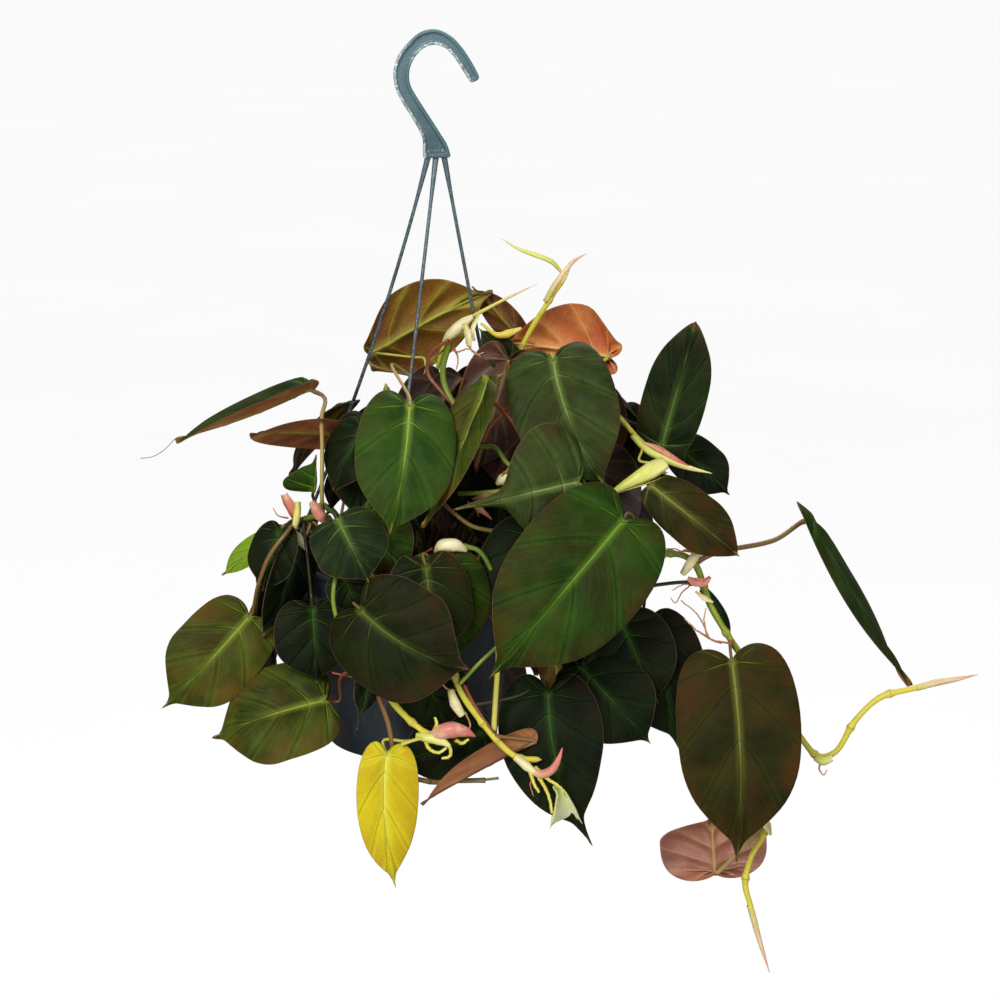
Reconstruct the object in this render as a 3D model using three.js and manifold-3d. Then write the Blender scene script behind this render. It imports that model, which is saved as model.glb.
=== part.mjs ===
// A velvet leaf philodendron trailing from a 14 cm hanging pot on a three-strand plastic hanger.
// Millimetres, +Z up, front towards -Y. The origin is the point of the hook that rests on a rod.

import * as THREE from "three";
import { mergeVertices } from "three/addons/utils/BufferGeometryUtils.js";
import Module from "manifold-3d";

const wasm = await Module();
wasm.setup();

// Driving dimensions
const GAP = 0.3;
const POT_X = -17;
const RIM_Z = -316;
const POT_HEIGHT = 117;
const RIM_RADIUS = 72;
const BASE_RADIUS = 54;
const POT_WALL = 1.8;
const COLLAR_HEIGHT = 22;
const COLLAR_FOOT_RADIUS = 66.5;
const SHOULDER_RADIUS = 64.5;
const FOOT_RECESS = 4;
const FOOT_RING = 7;
const DRAIN_HOLES = 6;
const DRAIN_RADIUS = 4;
const POT_SIDES = 32;
const SOIL_DROP = 9;
const SOIL_DOME = 3;

const HOOK_DEPTH = 7;
const HOOK_WIDTH = 10.2;
const HOOK_RIM = 1.9;
const HOOK_WEB = 2.4;
const HOOK_BASE_Z = -68;
const HOOK_BASE_WIDTH = 17.5;
const HOOK_LENGTH = 110;
const SOCKET_DEPTH = 6;
const STRAND_RADIUS = 1.1;
const STRAND_SPREAD = 4.6;
const STRAND_CIRCLE = 79;
const LUG_THICKNESS = 3;
const LUG_RADIUS = 5.5;
const LUG_HOLE = 2.2;
const BARB_RADIUS = 3;
const BARB_HEIGHT = 4;

const STEM_RADIUS = 1.9;
const STEM_SIDES = 6;
const STALK_RADIUS = 1.1;
const STALK_SIDES = 4;
const BLADE_THICKNESS = 0.8;
const BLADE_STEPS = 7;
const BLADE_BANDS = 2;
const STALK_BEHIND = 7;
const STALK_BELOW = 9;

const PLASTIC = { color: 0x202a32, roughness: 0.45, metalness: 0 };
const HOOK_PLASTIC = { color: 0x50696c, roughness: 0.4, metalness: 0 };
const PEAT = { color: 0x2a1c14, roughness: 1, metalness: 0 };
const STEM = { color: 0x6f8a2e, roughness: 0.6, metalness: 0 };
const BLADES = {
  green: { color: 0x2f4a1e, roughness: 0.65, metalness: 0 },
  dark: { color: 0x1c2c1c, roughness: 0.65, metalness: 0 },
  olive: { color: 0x3d4420, roughness: 0.65, metalness: 0 },
  copper: { color: 0x8a4a2c, roughness: 0.6, metalness: 0 },
  mauve: { color: 0x7d5552, roughness: 0.6, metalness: 0 },
  yellow: { color: 0xb8b43a, roughness: 0.6, metalness: 0 },
  lime: { color: 0x7fa83a, roughness: 0.6, metalness: 0 },
};

const plant = new THREE.Group();
const point = (p) => new THREE.Vector3(...p);
const radians = THREE.MathUtils.degToRad;

// A closed geometry as a solid that can be joined and cut.
function solid(geometry) {
  const bare = geometry.clone();
  bare.deleteAttribute("normal");
  bare.deleteAttribute("uv");
  const welded = mergeVertices(bare, 1e-4);
  const mesh = new wasm.Mesh({
    numProp: 3,
    vertProperties: welded.attributes.position.array,
    triVerts: new Uint32Array(welded.index.array),
  });
  return new wasm.Manifold(mesh);
}

function largestBody(shape) {
  const bodies = shape.decompose();
  return bodies.reduce((best, body) => (body.volume() > best.volume() ? body : best));
}

function addNode(name, shape, finish) {
  const { numProp, vertProperties, triVerts } = shape.getMesh();
  const positions = new Float32Array((vertProperties.length / numProp) * 3);
  for (let i = 0; i < positions.length / 3; i += 1) {
    positions.set(vertProperties.subarray(i * numProp, i * numProp + 3), i * 3);
  }
  const geometry = new THREE.BufferGeometry();
  geometry.setAttribute("position", new THREE.BufferAttribute(positions, 3));
  geometry.setIndex(new THREE.BufferAttribute(new Uint32Array(triVerts), 1));
  geometry.computeVertexNormals();
  const mesh = new THREE.Mesh(geometry, new THREE.MeshStandardMaterial(finish));
  mesh.name = name;
  plant.add(mesh);
}

// A round rod along a line in space.
function tube(line, radius, sides, steps) {
  const corners = Array.from({ length: sides }, (_, i) => (i / sides) * Math.PI * 2);
  const ring = new THREE.Shape(
    corners.map((turn) => new THREE.Vector2(radius * Math.cos(turn), radius * Math.sin(turn))),
  );
  return solid(new THREE.ExtrudeGeometry(ring, { steps, extrudePath: line }));
}

const smoothLine = (points) =>
  new THREE.CatmullRomCurve3(points.map(point), false, "centripetal");

function cylinder(radius, height, x, y, z, sides = 16) {
  const shape = new THREE.CylinderGeometry(radius, radius, height, sides);
  shape.rotateX(Math.PI / 2).translate(x, y, z);
  return solid(shape);
}

// Where each strand meets the rim, seen from above
const STRANDS = [
  { name: "strand_left", turn: -107, shift: -STRAND_SPREAD, bow: 12 },
  { name: "strand_front", turn: -10, shift: 0, bow: 3 },
  { name: "strand_right", turn: 118, shift: STRAND_SPREAD, bow: 3 },
].map((strand) => ({
  ...strand,
  x: POT_X + STRAND_CIRCLE * Math.sin(radians(strand.turn)),
  y: -STRAND_CIRCLE * Math.cos(radians(strand.turn)),
}));
const LUG_TOP = RIM_Z;

// Pot: thin moulded wall with a collar, a raised floor with drain holes and three lugs
function wallRadius(z) {
  const share = (RIM_Z - COLLAR_HEIGHT - z) / (POT_HEIGHT - COLLAR_HEIGHT);
  return THREE.MathUtils.lerp(SHOULDER_RADIUS, BASE_RADIUS, share);
}

function pot() {
  const bottom = RIM_Z - POT_HEIGHT;
  const floor = bottom + FOOT_RECESS;
  const collarFoot = RIM_Z - COLLAR_HEIGHT;
  const outline = [
    [0, floor],
    [BASE_RADIUS - FOOT_RING, floor],
    [BASE_RADIUS - FOOT_RING + 1, bottom],
    [BASE_RADIUS, bottom],
    [wallRadius(collarFoot), collarFoot],
    [COLLAR_FOOT_RADIUS, collarFoot],
    [COLLAR_FOOT_RADIUS + 1, collarFoot + 5],
    [RIM_RADIUS - 3, RIM_Z - 3],
    [RIM_RADIUS, RIM_Z - 2],
    [RIM_RADIUS, RIM_Z],
    [RIM_RADIUS - 5, RIM_Z],
    [SHOULDER_RADIUS - POT_WALL, collarFoot],
    [wallRadius(floor + POT_WALL) - POT_WALL, floor + POT_WALL],
    [0, floor + POT_WALL],
  ].map(([r, z]) => new THREE.Vector2(r, z));
  const turned = new THREE.LatheGeometry(outline, POT_SIDES);
  turned.rotateX(Math.PI / 2).translate(POT_X, 0, 0);
  let shape = solid(turned);
  const drainCircle = BASE_RADIUS - FOOT_RING - 2 * DRAIN_RADIUS;
  for (let i = 0; i < DRAIN_HOLES; i += 1) {
    const turn = (i / DRAIN_HOLES) * Math.PI * 2;
    const x = POT_X + drainCircle * Math.cos(turn);
    const y = drainCircle * Math.sin(turn);
    shape = shape.subtract(cylinder(DRAIN_RADIUS, 12, x, y, floor, 10));
  }
  for (const strand of STRANDS) {
    shape = shape.add(lug(strand));
  }
  return shape;
}

function lug({ turn, x, y }) {
  const reach = STRAND_CIRCLE - RIM_RADIUS + 3;
  const tab = new THREE.Shape();
  tab.moveTo(-LUG_RADIUS, reach);
  tab.lineTo(-LUG_RADIUS, 0);
  tab.absarc(0, 0, LUG_RADIUS, Math.PI, Math.PI * 2, false);
  tab.lineTo(LUG_RADIUS, reach);
  const hole = new THREE.Path();
  hole.absarc(0, 0, LUG_HOLE, 0, Math.PI * 2, true);
  tab.holes.push(hole);
  const plate = new THREE.ExtrudeGeometry(tab, {
    depth: LUG_THICKNESS,
    bevelEnabled: false,
    curveSegments: 6,
  });
  plate.rotateZ(radians(turn)).translate(x, y, LUG_TOP - LUG_THICKNESS);
  return solid(plate);
}

// Hanger: a moulded hook with raised rims on both faces, and three strands in its foot.
// The line runs from the open tip over the top and down to the foot.
const HOOK_LINE = new THREE.CatmullRomCurve3(
  [
    [23.4, 0, -22.8],
    [19.2, 0, -14.2],
    [11.7, 0, -2.3],
    [0, 0, 5.1],
    [-12.5, 0, 0.2],
    [-19.2, 0, -12.5],
    [-18.6, 0, -28],
    [-12.6, 0, -40],
    [-6.2, 0, -50],
    [-1, 0, -60],
    [0, 0, HOOK_BASE_Z],
  ].map(point),
  false,
  "centripetal",
);

function hookOutline(inset) {
  const steps = 28;
  const left = [];
  const right = [];
  for (let i = 0; i <= steps; i += 1) {
    const ends = inset / HOOK_LENGTH;
    const share = THREE.MathUtils.lerp(ends, 1 - ends, i / steps);
    const middle = HOOK_LINE.getPointAt(share);
    const along = HOOK_LINE.getTangentAt(share);
    const tipEase = Math.sqrt(Math.min(1, share / 0.08 + 0.12));
    const flare = THREE.MathUtils.smoothstep(share, 0.84, 1);
    const width = THREE.MathUtils.lerp(HOOK_WIDTH * tipEase, HOOK_BASE_WIDTH, flare);
    const half = width / 2 - inset;
    left.push(new THREE.Vector2(middle.x - along.z * half, middle.z + along.x * half));
    right.push(new THREE.Vector2(middle.x + along.z * half, middle.z - along.x * half));
  }
  return new THREE.Shape([...left, ...right.reverse()]);
}

function hookPlate(inset, depth, y) {
  const plate = new THREE.ExtrudeGeometry(hookOutline(inset), { depth, bevelEnabled: false });
  plate.rotateX(Math.PI / 2).translate(0, y + depth, 0);
  return solid(plate);
}

function hook() {
  const pocket = (HOOK_DEPTH - HOOK_WEB) / 2;
  let shape = hookPlate(0, HOOK_DEPTH, -HOOK_DEPTH / 2);
  shape = shape.subtract(hookPlate(HOOK_RIM, pocket + 1, -HOOK_DEPTH / 2 - 1));
  shape = shape.subtract(hookPlate(HOOK_RIM, pocket + 1, HOOK_DEPTH / 2 - pocket));
  const block = new THREE.BoxGeometry(HOOK_BASE_WIDTH - 3, HOOK_DEPTH - 1, SOCKET_DEPTH + 1);
  block.translate(0, 0, HOOK_BASE_Z + (SOCKET_DEPTH + 2) / 2);
  shape = shape.add(solid(block));
  for (const item of STRANDS) {
    shape = shape.subtract(strand(item, GAP));
  }
  return shape;
}

// Each strand runs from its socket in the hook to a barb under its lug, a little slack inwards.
function strand({ x, y, shift, bow }, grow) {
  const below = LUG_TOP - LUG_THICKNESS;
  const foot = new THREE.Vector3(x, y, below + LUG_THICKNESS / 2);
  const head = new THREE.Vector3(shift, 0, HOOK_BASE_Z);
  const up = head.clone().sub(foot).normalize();
  head.addScaledVector(up, SOCKET_DEPTH - GAP + grow);
  foot.addScaledVector(up, -LUG_THICKNESS);
  const barb = new THREE.CylinderGeometry(BARB_RADIUS + grow, 1 + grow, BARB_HEIGHT, 10);
  barb.rotateX(Math.PI / 2).translate(foot.x, foot.y, below - GAP - BARB_HEIGHT / 2);
  const middle = head.clone().lerp(foot, 0.5);
  middle.addScaledVector(new THREE.Vector3(-foot.x, -foot.y, 0).normalize(), bow);
  const line = new THREE.QuadraticBezierCurve3(head, middle, foot);
  return tube(line, STRAND_RADIUS + grow, 6, 7).add(solid(barb));
}

// Stems: each grows from the soil, over the rim and along, through these points
const STEMS = {
  stem_left: [
    [-50, -8, -345],
    [-56, -20, -304],
    [-70, -34, -282],
    [-88, -42, -286],
    [-95, -40, -306],
    [-93, -36, -335],
  ],
  stem_front_left: [
    [-42, -35, -345],
    [-40, -58, -304],
    [-38, -79, -304],
    [-37, -88, -330],
    [-36, -90, -358],
    [-30, -93, -374],
    [-15, -95, -392],
    [-2, -95, -401],
    [12, -94, -400],
  ],
  stem_front: [
    [0, -35, -345],
    [2, -58, -303],
    [5, -79, -303],
    [8, -88, -330],
    [10, -92, -352],
    [14, -95, -371],
    [26, -96, -390],
    [40, -95, -408],
    [50, -94, -416],
    [64, -92, -418],
  ],
  stem_right: [
    [18, -22, -345],
    [30, -38, -303],
    [56, -50, -288],
    [95, -52, -292],
    [130, -48, -300],
    [155, -45, -306],
    [168, -44, -336],
    [181, -44, -358],
    [203, -42, -390],
    [224, -42, -419],
    [238, -40, -435],
    [248, -40, -432],
    [260, -40, -411],
    [275, -40, -396],
    [292, -40, -391],
    [329, -38, -383],
  ],
  stem_low_right: [
    [10, 10, -345],
    [30, 20, -298],
    [62, 22, -298],
    [92, 8, -330],
    [122, -5, -375],
    [158, -16, -425],
    [190, -30, -466],
    [206, -38, -481],
    [197, -40, -503],
    [194, -40, -520],
    [198, -40, -536],
    [209, -40, -573],
  ],
  stem_top: [
    [-12, 12, -345],
    [-10, 12, -290],
    [-4, 12, -235],
    [2, 11, -190],
    [10, 10, -174],
    [32, 10, -160],
    [62, 10, -145],
  ],
  stem_top_mid: [
    [8, 20, -345],
    [20, 12, -280],
    [41, 10, -222],
    [54, 22, -184],
    [69, 21, -158],
    [82, 20, -138],
  ],
  stem_top_right: [
    [28, -4, -345],
    [40, -10, -290],
    [66, -18, -240],
    [94, -26, -216],
    [110, -30, -220],
    [122, -30, -233],
    [138, -31, -246],
    [161, -31, -255],
  ],
  stem_back: [
    [-30, 34, -345],
    [-34, 58, -304],
    [-40, 79, -304],
    [-44, 88, -330],
    [-48, 92, -365],
    [-44, 92, -400],
    [-36, 92, -440],
  ],
};

function stem(name, grow) {
  const points = STEMS[name];
  return tube(smoothLine(points), STEM_RADIUS + grow, STEM_SIDES, points.length * 2);
}

// Leaves: petiole joint, tip, the way the velvet side faces, full width, and how the blade is formed.
// fold lifts both halves towards each other and bend droops the tip, in degrees.
// sway bows the midrib sideways, in millimetres.
// stalk names the stem and the place on it, counted in its points, that the leaf stalk leaves.
const LEAVES = [
  {
    name: "leaf_front_round", base: [-15, -62, -207], tip: [-26, -98, -276],
    faces: [0.05, -1, 0.1], width: 59, fold: 6, bend: 20, sway: -2,
    stalk: ["stem_top", 3], via: [[-24, -32, -194]], tone: "green",
  },
  {
    name: "leaf_centre_top", base: [71, -28, -186], tip: [102, -66, -256],
    faces: [0, -1, 0.25], width: 67, fold: 14, bend: 40,
    stalk: ["stem_top_right", 2], tone: "green",
  },
  {
    name: "leaf_centre_pointed", base: [85, -66, -252], tip: [11, -96, -262],
    faces: [-0.1, -1, 0.15], width: 78, fold: 12, bend: 22,
    stalk: ["stem_right", 3], tone: "green",
  },
  {
    name: "leaf_front_large", base: [111, -84, -272], tip: [32, -114, -360],
    faces: [0, -1, 0.25], width: 82, fold: 8, bend: 24,
    stalk: ["stem_right", 4], tone: "green",
  },
  {
    name: "leaf_centre_folded", base: [29, -48, -203], tip: [-4, -84, -272],
    faces: [-0.75, -0.65, 0.1], width: 46, fold: 26, bend: 10,
    stalk: ["stem_top", 2.2], tone: "olive",
  },
  {
    name: "leaf_left_high", base: [-78, -12, -206], tip: [-157, -44, -231],
    faces: [0, 0.16, 1], width: 54, fold: 31, bend: -14,
    stalk: ["stem_left", 2], via: [[-69, -46, -262], [-70, -42, -232], [-74, -28, -213]], tone: "green",
  },
  {
    name: "leaf_left_copper", base: [-62, -8, -238], tip: [-114, -26, -235],
    faces: [0, 0.6, 0.8], width: 48, fold: 6, bend: 10,
    stalk: ["stem_left", 1.4], tone: "copper",
  },
  {
    name: "leaf_behind_round", base: [-44, -36, -226], tip: [-62, -50, -262],
    faces: [-0.6, -0.75, 0.1], width: 42, fold: 8, bend: 14,
    stalk: ["stem_left", 1], tone: "dark",
  },
  {
    name: "leaf_rim_round", base: [-57, -84, -271], tip: [-38, -98, -306],
    faces: [0.1, -0.95, 0.3], width: 44, fold: 6, bend: 36,
    stalk: ["stem_front_left", 1.6], tone: "dark",
  },
  {
    name: "leaf_rim_behind", base: [-44, -74, -272], tip: [-16, -82, -306],
    faces: [0.1, -1, 0.2], width: 44, fold: 6, bend: 20,
    stalk: ["stem_front_left", 1], tone: "green",
  },
  {
    name: "leaf_rim_olive", base: [-5, -88, -299], tip: [1, -94, -355],
    faces: [0.1, -1, 0.2], width: 50, fold: 6, bend: 20,
    stalk: ["stem_front", 2], tone: "olive",
  },
  {
    name: "leaf_rim_dark", base: [4, -80, -300], tip: [15, -85, -359],
    faces: [0.2, -1, 0.1], width: 52, fold: 6, bend: 16,
    stalk: ["stem_front", 1], tone: "dark",
  },
  {
    name: "leaf_front_dark", base: [-43, -100, -322], tip: [21, -114, -354],
    faces: [-0.1, -1, 0.15], width: 68, fold: 5, bend: 18, sway: 5,
    stalk: ["stem_front_left", 3], tone: "dark",
  },
  {
    name: "leaf_left_olive", base: [-116, -40, -344], tip: [-169, -56, -398],
    faces: [-0.1, -1, 0.3], width: 58, fold: 8, bend: 30, sway: -2,
    stalk: ["stem_left", 3], via: [[-88, -56, -284], [-100, -56, -300], [-107, -50, -320]], tone: "olive",
  },
  {
    name: "leaf_left_low", base: [-68, -64, -390], tip: [-137, -70, -412],
    faces: [-0.1, -1, 0.35], width: 60, fold: 8, bend: 34,
    stalk: ["stem_front_left", 4], via: [[-55, -86, -366]], tone: "olive",
  },
  {
    name: "leaf_left_dark", base: [-75, -60, -333], tip: [-73, -66, -379],
    faces: [0.1, -1, 0.15], width: 48, fold: 6, bend: 20,
    stalk: ["stem_left", 2.6], via: [[-78, -54, -300]], tone: "dark",
  },
  {
    name: "leaf_left_lime", base: [-98, -18, -298], tip: [-133, -30, -320],
    faces: [-0.2, -0.6, 0.8], width: 23, fold: 20, bend: 16,
    stalk: ["stem_left", 4], tone: "lime",
  },
  {
    name: "leaf_left_narrow", base: [-94, -54, -286], tip: [-105, -60, -322],
    faces: [-0.5, -0.85, 0], width: 34, fold: 10, bend: 12,
    stalk: ["stem_left", 2.7], tone: "dark",
  },
  {
    name: "leaf_left_hanging", base: [-84, -48, -298], tip: [-106, -50, -354],
    faces: [0.75, -0.65, 0.1], width: 38, fold: 18, bend: 12,
    stalk: ["stem_left", 2.2], tone: "dark",
  },
  {
    name: "leaf_bottom_dark", base: [68, -80, -380], tip: [95, -96, -472],
    faces: [0, -1, 0.15], width: 63, fold: 10, bend: 24, sway: 7,
    stalk: ["stem_front", 5.6], via: [[50, -84, -380]], tone: "dark",
  },
  {
    name: "leaf_low_teal", base: [89, -60, -370], tip: [131, -70, -416],
    faces: [0.05, -1, 0.25], width: 54, fold: 8, bend: 30,
    stalk: ["stem_right", 3.5], via: [[88, -58, -330]], tone: "dark",
  },
  {
    name: "leaf_low_behind", base: [96, -40, -356], tip: [122, -52, -416],
    faces: [0.05, -1, 0.2], width: 52, fold: 8, bend: 16,
    stalk: ["stem_right", 2.6], tone: "dark",
  },
  {
    name: "leaf_low_right", base: [130, -46, -350], tip: [149, -56, -424],
    faces: [0.1, -1, 0.15], width: 58, fold: 8, bend: 20,
    stalk: ["stem_right", 5], tone: "dark",
  },
  {
    name: "leaf_low_middle", base: [114, -54, -345], tip: [136, -60, -394],
    faces: [0, -1, 0.2], width: 50, fold: 8, bend: 24,
    stalk: ["stem_right", 4.4], tone: "dark",
  },
  {
    name: "leaf_right_large", base: [180, -62, -366], tip: [184, -82, -489],
    faces: [0, -1, 0.2], width: 76, fold: 10, bend: 26, sway: -3,
    stalk: ["stem_right", 7], tone: "olive",
  },
  {
    name: "leaf_low_mauve", base: [178, -6, -526], tip: [174, -14, -482],
    faces: [0, 0.95, 0.3], width: 68, fold: 8, bend: 20,
    stalk: ["stem_low_right", 7], tone: "mauve",
  },
  {
    name: "leaf_far_right", base: [235, 8, -296], tip: [298, -10, -397],
    faces: [0.89, -0.18, 0.42], width: 58, fold: 14, bend: 10,
    stalk: ["stem_right", 5.1], via: [[172, -36, -304], [204, -14, -302], [224, 0, -295]], tone: "green",
  },
  {
    name: "leaf_upright", base: [138, -22, -239], tip: [156, -36, -161],
    faces: [-0.1, -1, 0.1], width: 39, fold: 10, bend: 14,
    stalk: ["stem_top_right", 5.4], tone: "green",
  },
  {
    name: "leaf_right_hooked", base: [151, 4, -245], tip: [183, -4, -275],
    faces: [0.1, -1, 0.3], width: 33, fold: 6, bend: 24,
    stalk: ["stem_top_right", 4], tone: "dark",
  },
  {
    name: "leaf_right_mid", base: [131, -54, -258], tip: [183, -64, -297],
    faces: [0, -1, 0.3], width: 41, fold: 10, bend: 24,
    stalk: ["stem_top_right", 6], tone: "olive",
  },
  {
    name: "leaf_back_olive", base: [-40, 20, -190], tip: [34, 48, -155],
    faces: [-0.1, 0.9, 0.35], width: 60, fold: 8, bend: 16,
    stalk: ["stem_top", 2.6], tone: "olive",
  },
  {
    name: "leaf_top_copper", base: [101, 40, -196], tip: [39, 24, -184],
    faces: [0, 1, 0.1], width: 60, fold: 8, bend: 14,
    stalk: ["stem_top_mid", 2], tone: "copper",
  },
  {
    name: "leaf_crown_mauve", base: [44, -6, -190], tip: [24, -20, -258],
    faces: [0.3, 0.9, 0.2], width: 50, fold: 8, bend: 12,
    stalk: ["stem_top_right", 1.2], tone: "mauve",
  },
  {
    name: "leaf_crown_brown", base: [14, -4, -196], tip: [-16, -22, -236],
    faces: [-0.3, 0.85, 0.4], width: 44, fold: 8, bend: 12,
    stalk: ["stem_top", 1.2], tone: "mauve",
  },
  {
    name: "leaf_centre_teal", base: [56, -68, -284], tip: [36, -82, -342],
    faces: [-0.2, -1, 0.1], width: 48, fold: 8, bend: 12,
    stalk: ["stem_right", 2.2], tone: "dark",
  },
  {
    name: "leaf_yellow", base: [-29, -101, -412], tip: [-24, -108, -494],
    faces: [0.2, -1, 0.1], width: 38, fold: 10, bend: 14, sway: 4,
    stalk: ["stem_front_left", 7], via: [[-16, -98, -404]], tone: "yellow",
  },
  {
    name: "leaf_copper_folded", base: [54, -88, -408], tip: [-9, -100, -443],
    faces: [-0.1, 0.45, 0.9], width: 33, fold: 62, bend: 4,
    stalk: ["stem_front", 6.6], tone: "copper",
  },
  {
    name: "leaf_under_front", base: [-8, -84, -364], tip: [8, -88, -402],
    faces: [0.1, -1, 0.1], width: 46, fold: 6, bend: 12,
    stalk: ["stem_front", 3.6], tone: "dark",
  },
  {
    name: "leaf_back_high", base: [-24, 58, -236], tip: [-58, 84, -296],
    faces: [-0.3, 0.9, 0.4], width: 58, fold: 10, bend: 26,
    stalk: ["stem_back", 0.8], tone: "green",
  },
  {
    name: "leaf_back_round", base: [-4, 84, -276], tip: [-10, 108, -344],
    faces: [0, 1, 0.35], width: 66, fold: 8, bend: 26,
    stalk: ["stem_back", 1.5], tone: "green",
  },
  {
    name: "leaf_back_right", base: [34, 74, -250], tip: [66, 106, -318],
    faces: [0.35, 1, 0.35], width: 70, fold: 8, bend: 26,
    stalk: ["stem_top_mid", 1], tone: "green",
  },
  {
    name: "leaf_back_side", base: [94, 44, -262], tip: [136, 64, -330],
    faces: [0.8, 0.55, 0.4], width: 62, fold: 10, bend: 24,
    stalk: ["stem_low_right", 2], tone: "dark",
  },
  {
    name: "leaf_back_low", base: [-54, 100, -352], tip: [-82, 112, -420],
    faces: [-0.25, 1, 0.2], width: 60, fold: 8, bend: 22,
    stalk: ["stem_back", 4], tone: "dark",
  },
  {
    name: "leaf_back_trailing", base: [-22, 102, -398], tip: [10, 110, -462],
    faces: [0.2, 1, 0.2], width: 56, fold: 8, bend: 20,
    stalk: ["stem_back", 5], tone: "olive",
  },
  {
    name: "leaf_back_left", base: [-92, 34, -306], tip: [-110, 44, -366],
    faces: [-0.8, 0.55, 0.4], width: 54, fold: 10, bend: 24,
    stalk: ["stem_left", 4.5], tone: "olive",
  },
];

// Half of the heart-shaped outline, from the stalk joint round the lobe to the tip.
// First number: share of the length along the midrib. Second: share of the half width.
const HEART = new THREE.CatmullRomCurve3(
  [
    [0, 0],
    [-0.06, 0.1],
    [-0.11, 0.3],
    [-0.11, 0.52],
    [-0.04, 0.76],
    [0.1, 0.94],
    [0.28, 1],
    [0.46, 0.93],
    [0.62, 0.76],
    [0.76, 0.52],
    [0.87, 0.26],
    [0.94, 0.09],
    [1, 0],
  ].map(([along, across]) => new THREE.Vector3(along, across, 0)),
  false,
  "catmullrom",
  0.5,
);
const LOBE_SHARE = 0.36;

// Axes of a blade: along the midrib, across it to the right, and out of the velvet side.
function bladeAxes({ base, tip, faces }) {
  const start = point(base);
  const along = point(tip).sub(start);
  const chord = along.length();
  along.normalize();
  const out = point(faces).addScaledVector(along, -point(faces).dot(along)).normalize();
  const across = new THREE.Vector3().crossVectors(along, out);
  return { start, along, across, out, chord };
}

// Bends and folds a flat point of the blade into place.
function formBlade(leaf, axes, share, offset) {
  const bend = radians(leaf.bend);
  const arc = (axes.chord * (bend / 2)) / Math.sin(bend / 2);
  const turn = bend * (share - 0.5);
  const forward = axes.chord / 2 + (arc / bend) * Math.sin(turn);
  const rise = (arc / bend) * (Math.cos(turn) - Math.cos(bend / 2));
  const lift = Math.abs(offset) * Math.sin(radians(leaf.fold));
  const sway = (leaf.sway ?? 0) * 4 * Math.max(0, share) * (1 - share);
  const normal = axes.out.clone().multiplyScalar(Math.cos(turn));
  normal.addScaledVector(axes.along, Math.sin(turn));
  return axes.start
    .clone()
    .addScaledVector(axes.along, forward)
    .addScaledVector(axes.out, rise)
    .addScaledVector(axes.across, offset * Math.cos(radians(leaf.fold)) + sway)
    .addScaledVector(normal, lift);
}

// A thin closed blade: a velvet face, an underside and the margin between them.
function blade(leaf, grow) {
  const axes = bladeAxes(leaf);
  const halfWidth = leaf.width / 2 + grow;
  const top = [];
  const faces = [];
  const numbers = new Map();
  // The midrib starts at the joint, so the lobes fan out from it; both halves share its points.
  const vertex = (side, step, band) => {
    const rib = Math.max(0, (step / BLADE_STEPS - LOBE_SHARE) / (1 - LOBE_SHARE));
    const atJoint = step === 0 || (band === 0 && rib === 0);
    const atTip = step === BLADE_STEPS;
    let key = `${band === 0 ? 0 : side} ${step} ${band}`;
    if (atJoint) key = "joint";
    if (atTip) key = "tip";
    if (!numbers.has(key)) {
      const edge = HEART.getPoint(step / BLADE_STEPS);
      const reach = atJoint ? 0 : band / BLADE_BANDS;
      const share = atJoint ? 0 : THREE.MathUtils.lerp(rib, edge.x, reach);
      const offset = atTip ? 0 : side * edge.y * reach * halfWidth;
      numbers.set(key, top.length);
      top.push(formBlade(leaf, axes, share, offset));
    }
    return numbers.get(key);
  };
  const rim = [];
  for (const side of [-1, 1]) {
    for (let step = 0; step < BLADE_STEPS; step += 1) {
      for (let band = 0; band < BLADE_BANDS; band += 1) {
        const a = vertex(side, step, band);
        const b = vertex(side, step + 1, band);
        const c = vertex(side, step + 1, band + 1);
        const d = vertex(side, step, band + 1);
        for (const corners of [[a, b, c], [a, c, d]]) {
          if (side > 0) corners.reverse();
          if (new Set(corners).size === 3) faces.push(corners);
        }
      }
      const here = vertex(side, step, BLADE_BANDS);
      const next = vertex(side, step + 1, BLADE_BANDS);
      rim.push(side > 0 ? [here, next] : [next, here]);
    }
  }
  const normals = top.map(() => new THREE.Vector3());
  for (const [a, b, c] of faces) {
    const ab = top[b].clone().sub(top[a]);
    const normal = ab.cross(top[c].clone().sub(top[a]));
    for (const corner of [a, b, c]) normals[corner].add(normal);
  }
  const half = BLADE_THICKNESS / 2 + grow;
  const under = top.map((p, i) => p.clone().addScaledVector(normals[i].normalize(), -half));
  const over = top.map((p, i) => p.clone().addScaledVector(normals[i], half));
  const count = top.length;
  const index = [];
  for (const [a, b, c] of faces) {
    index.push(a, b, c, a + count, c + count, b + count);
  }
  for (const [a, b] of rim) {
    index.push(a, a + count, b + count, a, b + count, b);
  }
  const positions = [...over, ...under].flatMap((p) => p.toArray());
  const geometry = new THREE.BufferGeometry();
  geometry.setAttribute("position", new THREE.Float32BufferAttribute(positions, 3));
  geometry.setIndex(index);
  return solid(geometry);
}

// The stalk leaves its stem, bows through any points given, and meets the blade from below.
function stalk(leaf, grow) {
  const [stemName, place] = leaf.stalk;
  const stemLine = smoothLine(STEMS[stemName]);
  const node = stemLine.getPoint(place / (STEMS[stemName].length - 1));
  const axes = bladeAxes(leaf);
  const { along, out, start } = axes;
  const joint = formBlade(leaf, axes, 0, 0);
  const approach = start.clone();
  approach.addScaledVector(along, -STALK_BEHIND).addScaledVector(out, -STALK_BELOW);
  const points = [node.toArray(), ...(leaf.via ?? []), approach.toArray(), joint.toArray()];
  return tube(smoothLine(points), STALK_RADIUS + grow, STALK_SIDES, 3 + points.length);
}

const fixed = [];
const potShape = pot();
const stemShapes = Object.keys(STEMS).map((name) => ({
  name,
  shape: stem(name, 0),
  wide: stem(name, GAP),
}));

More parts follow.
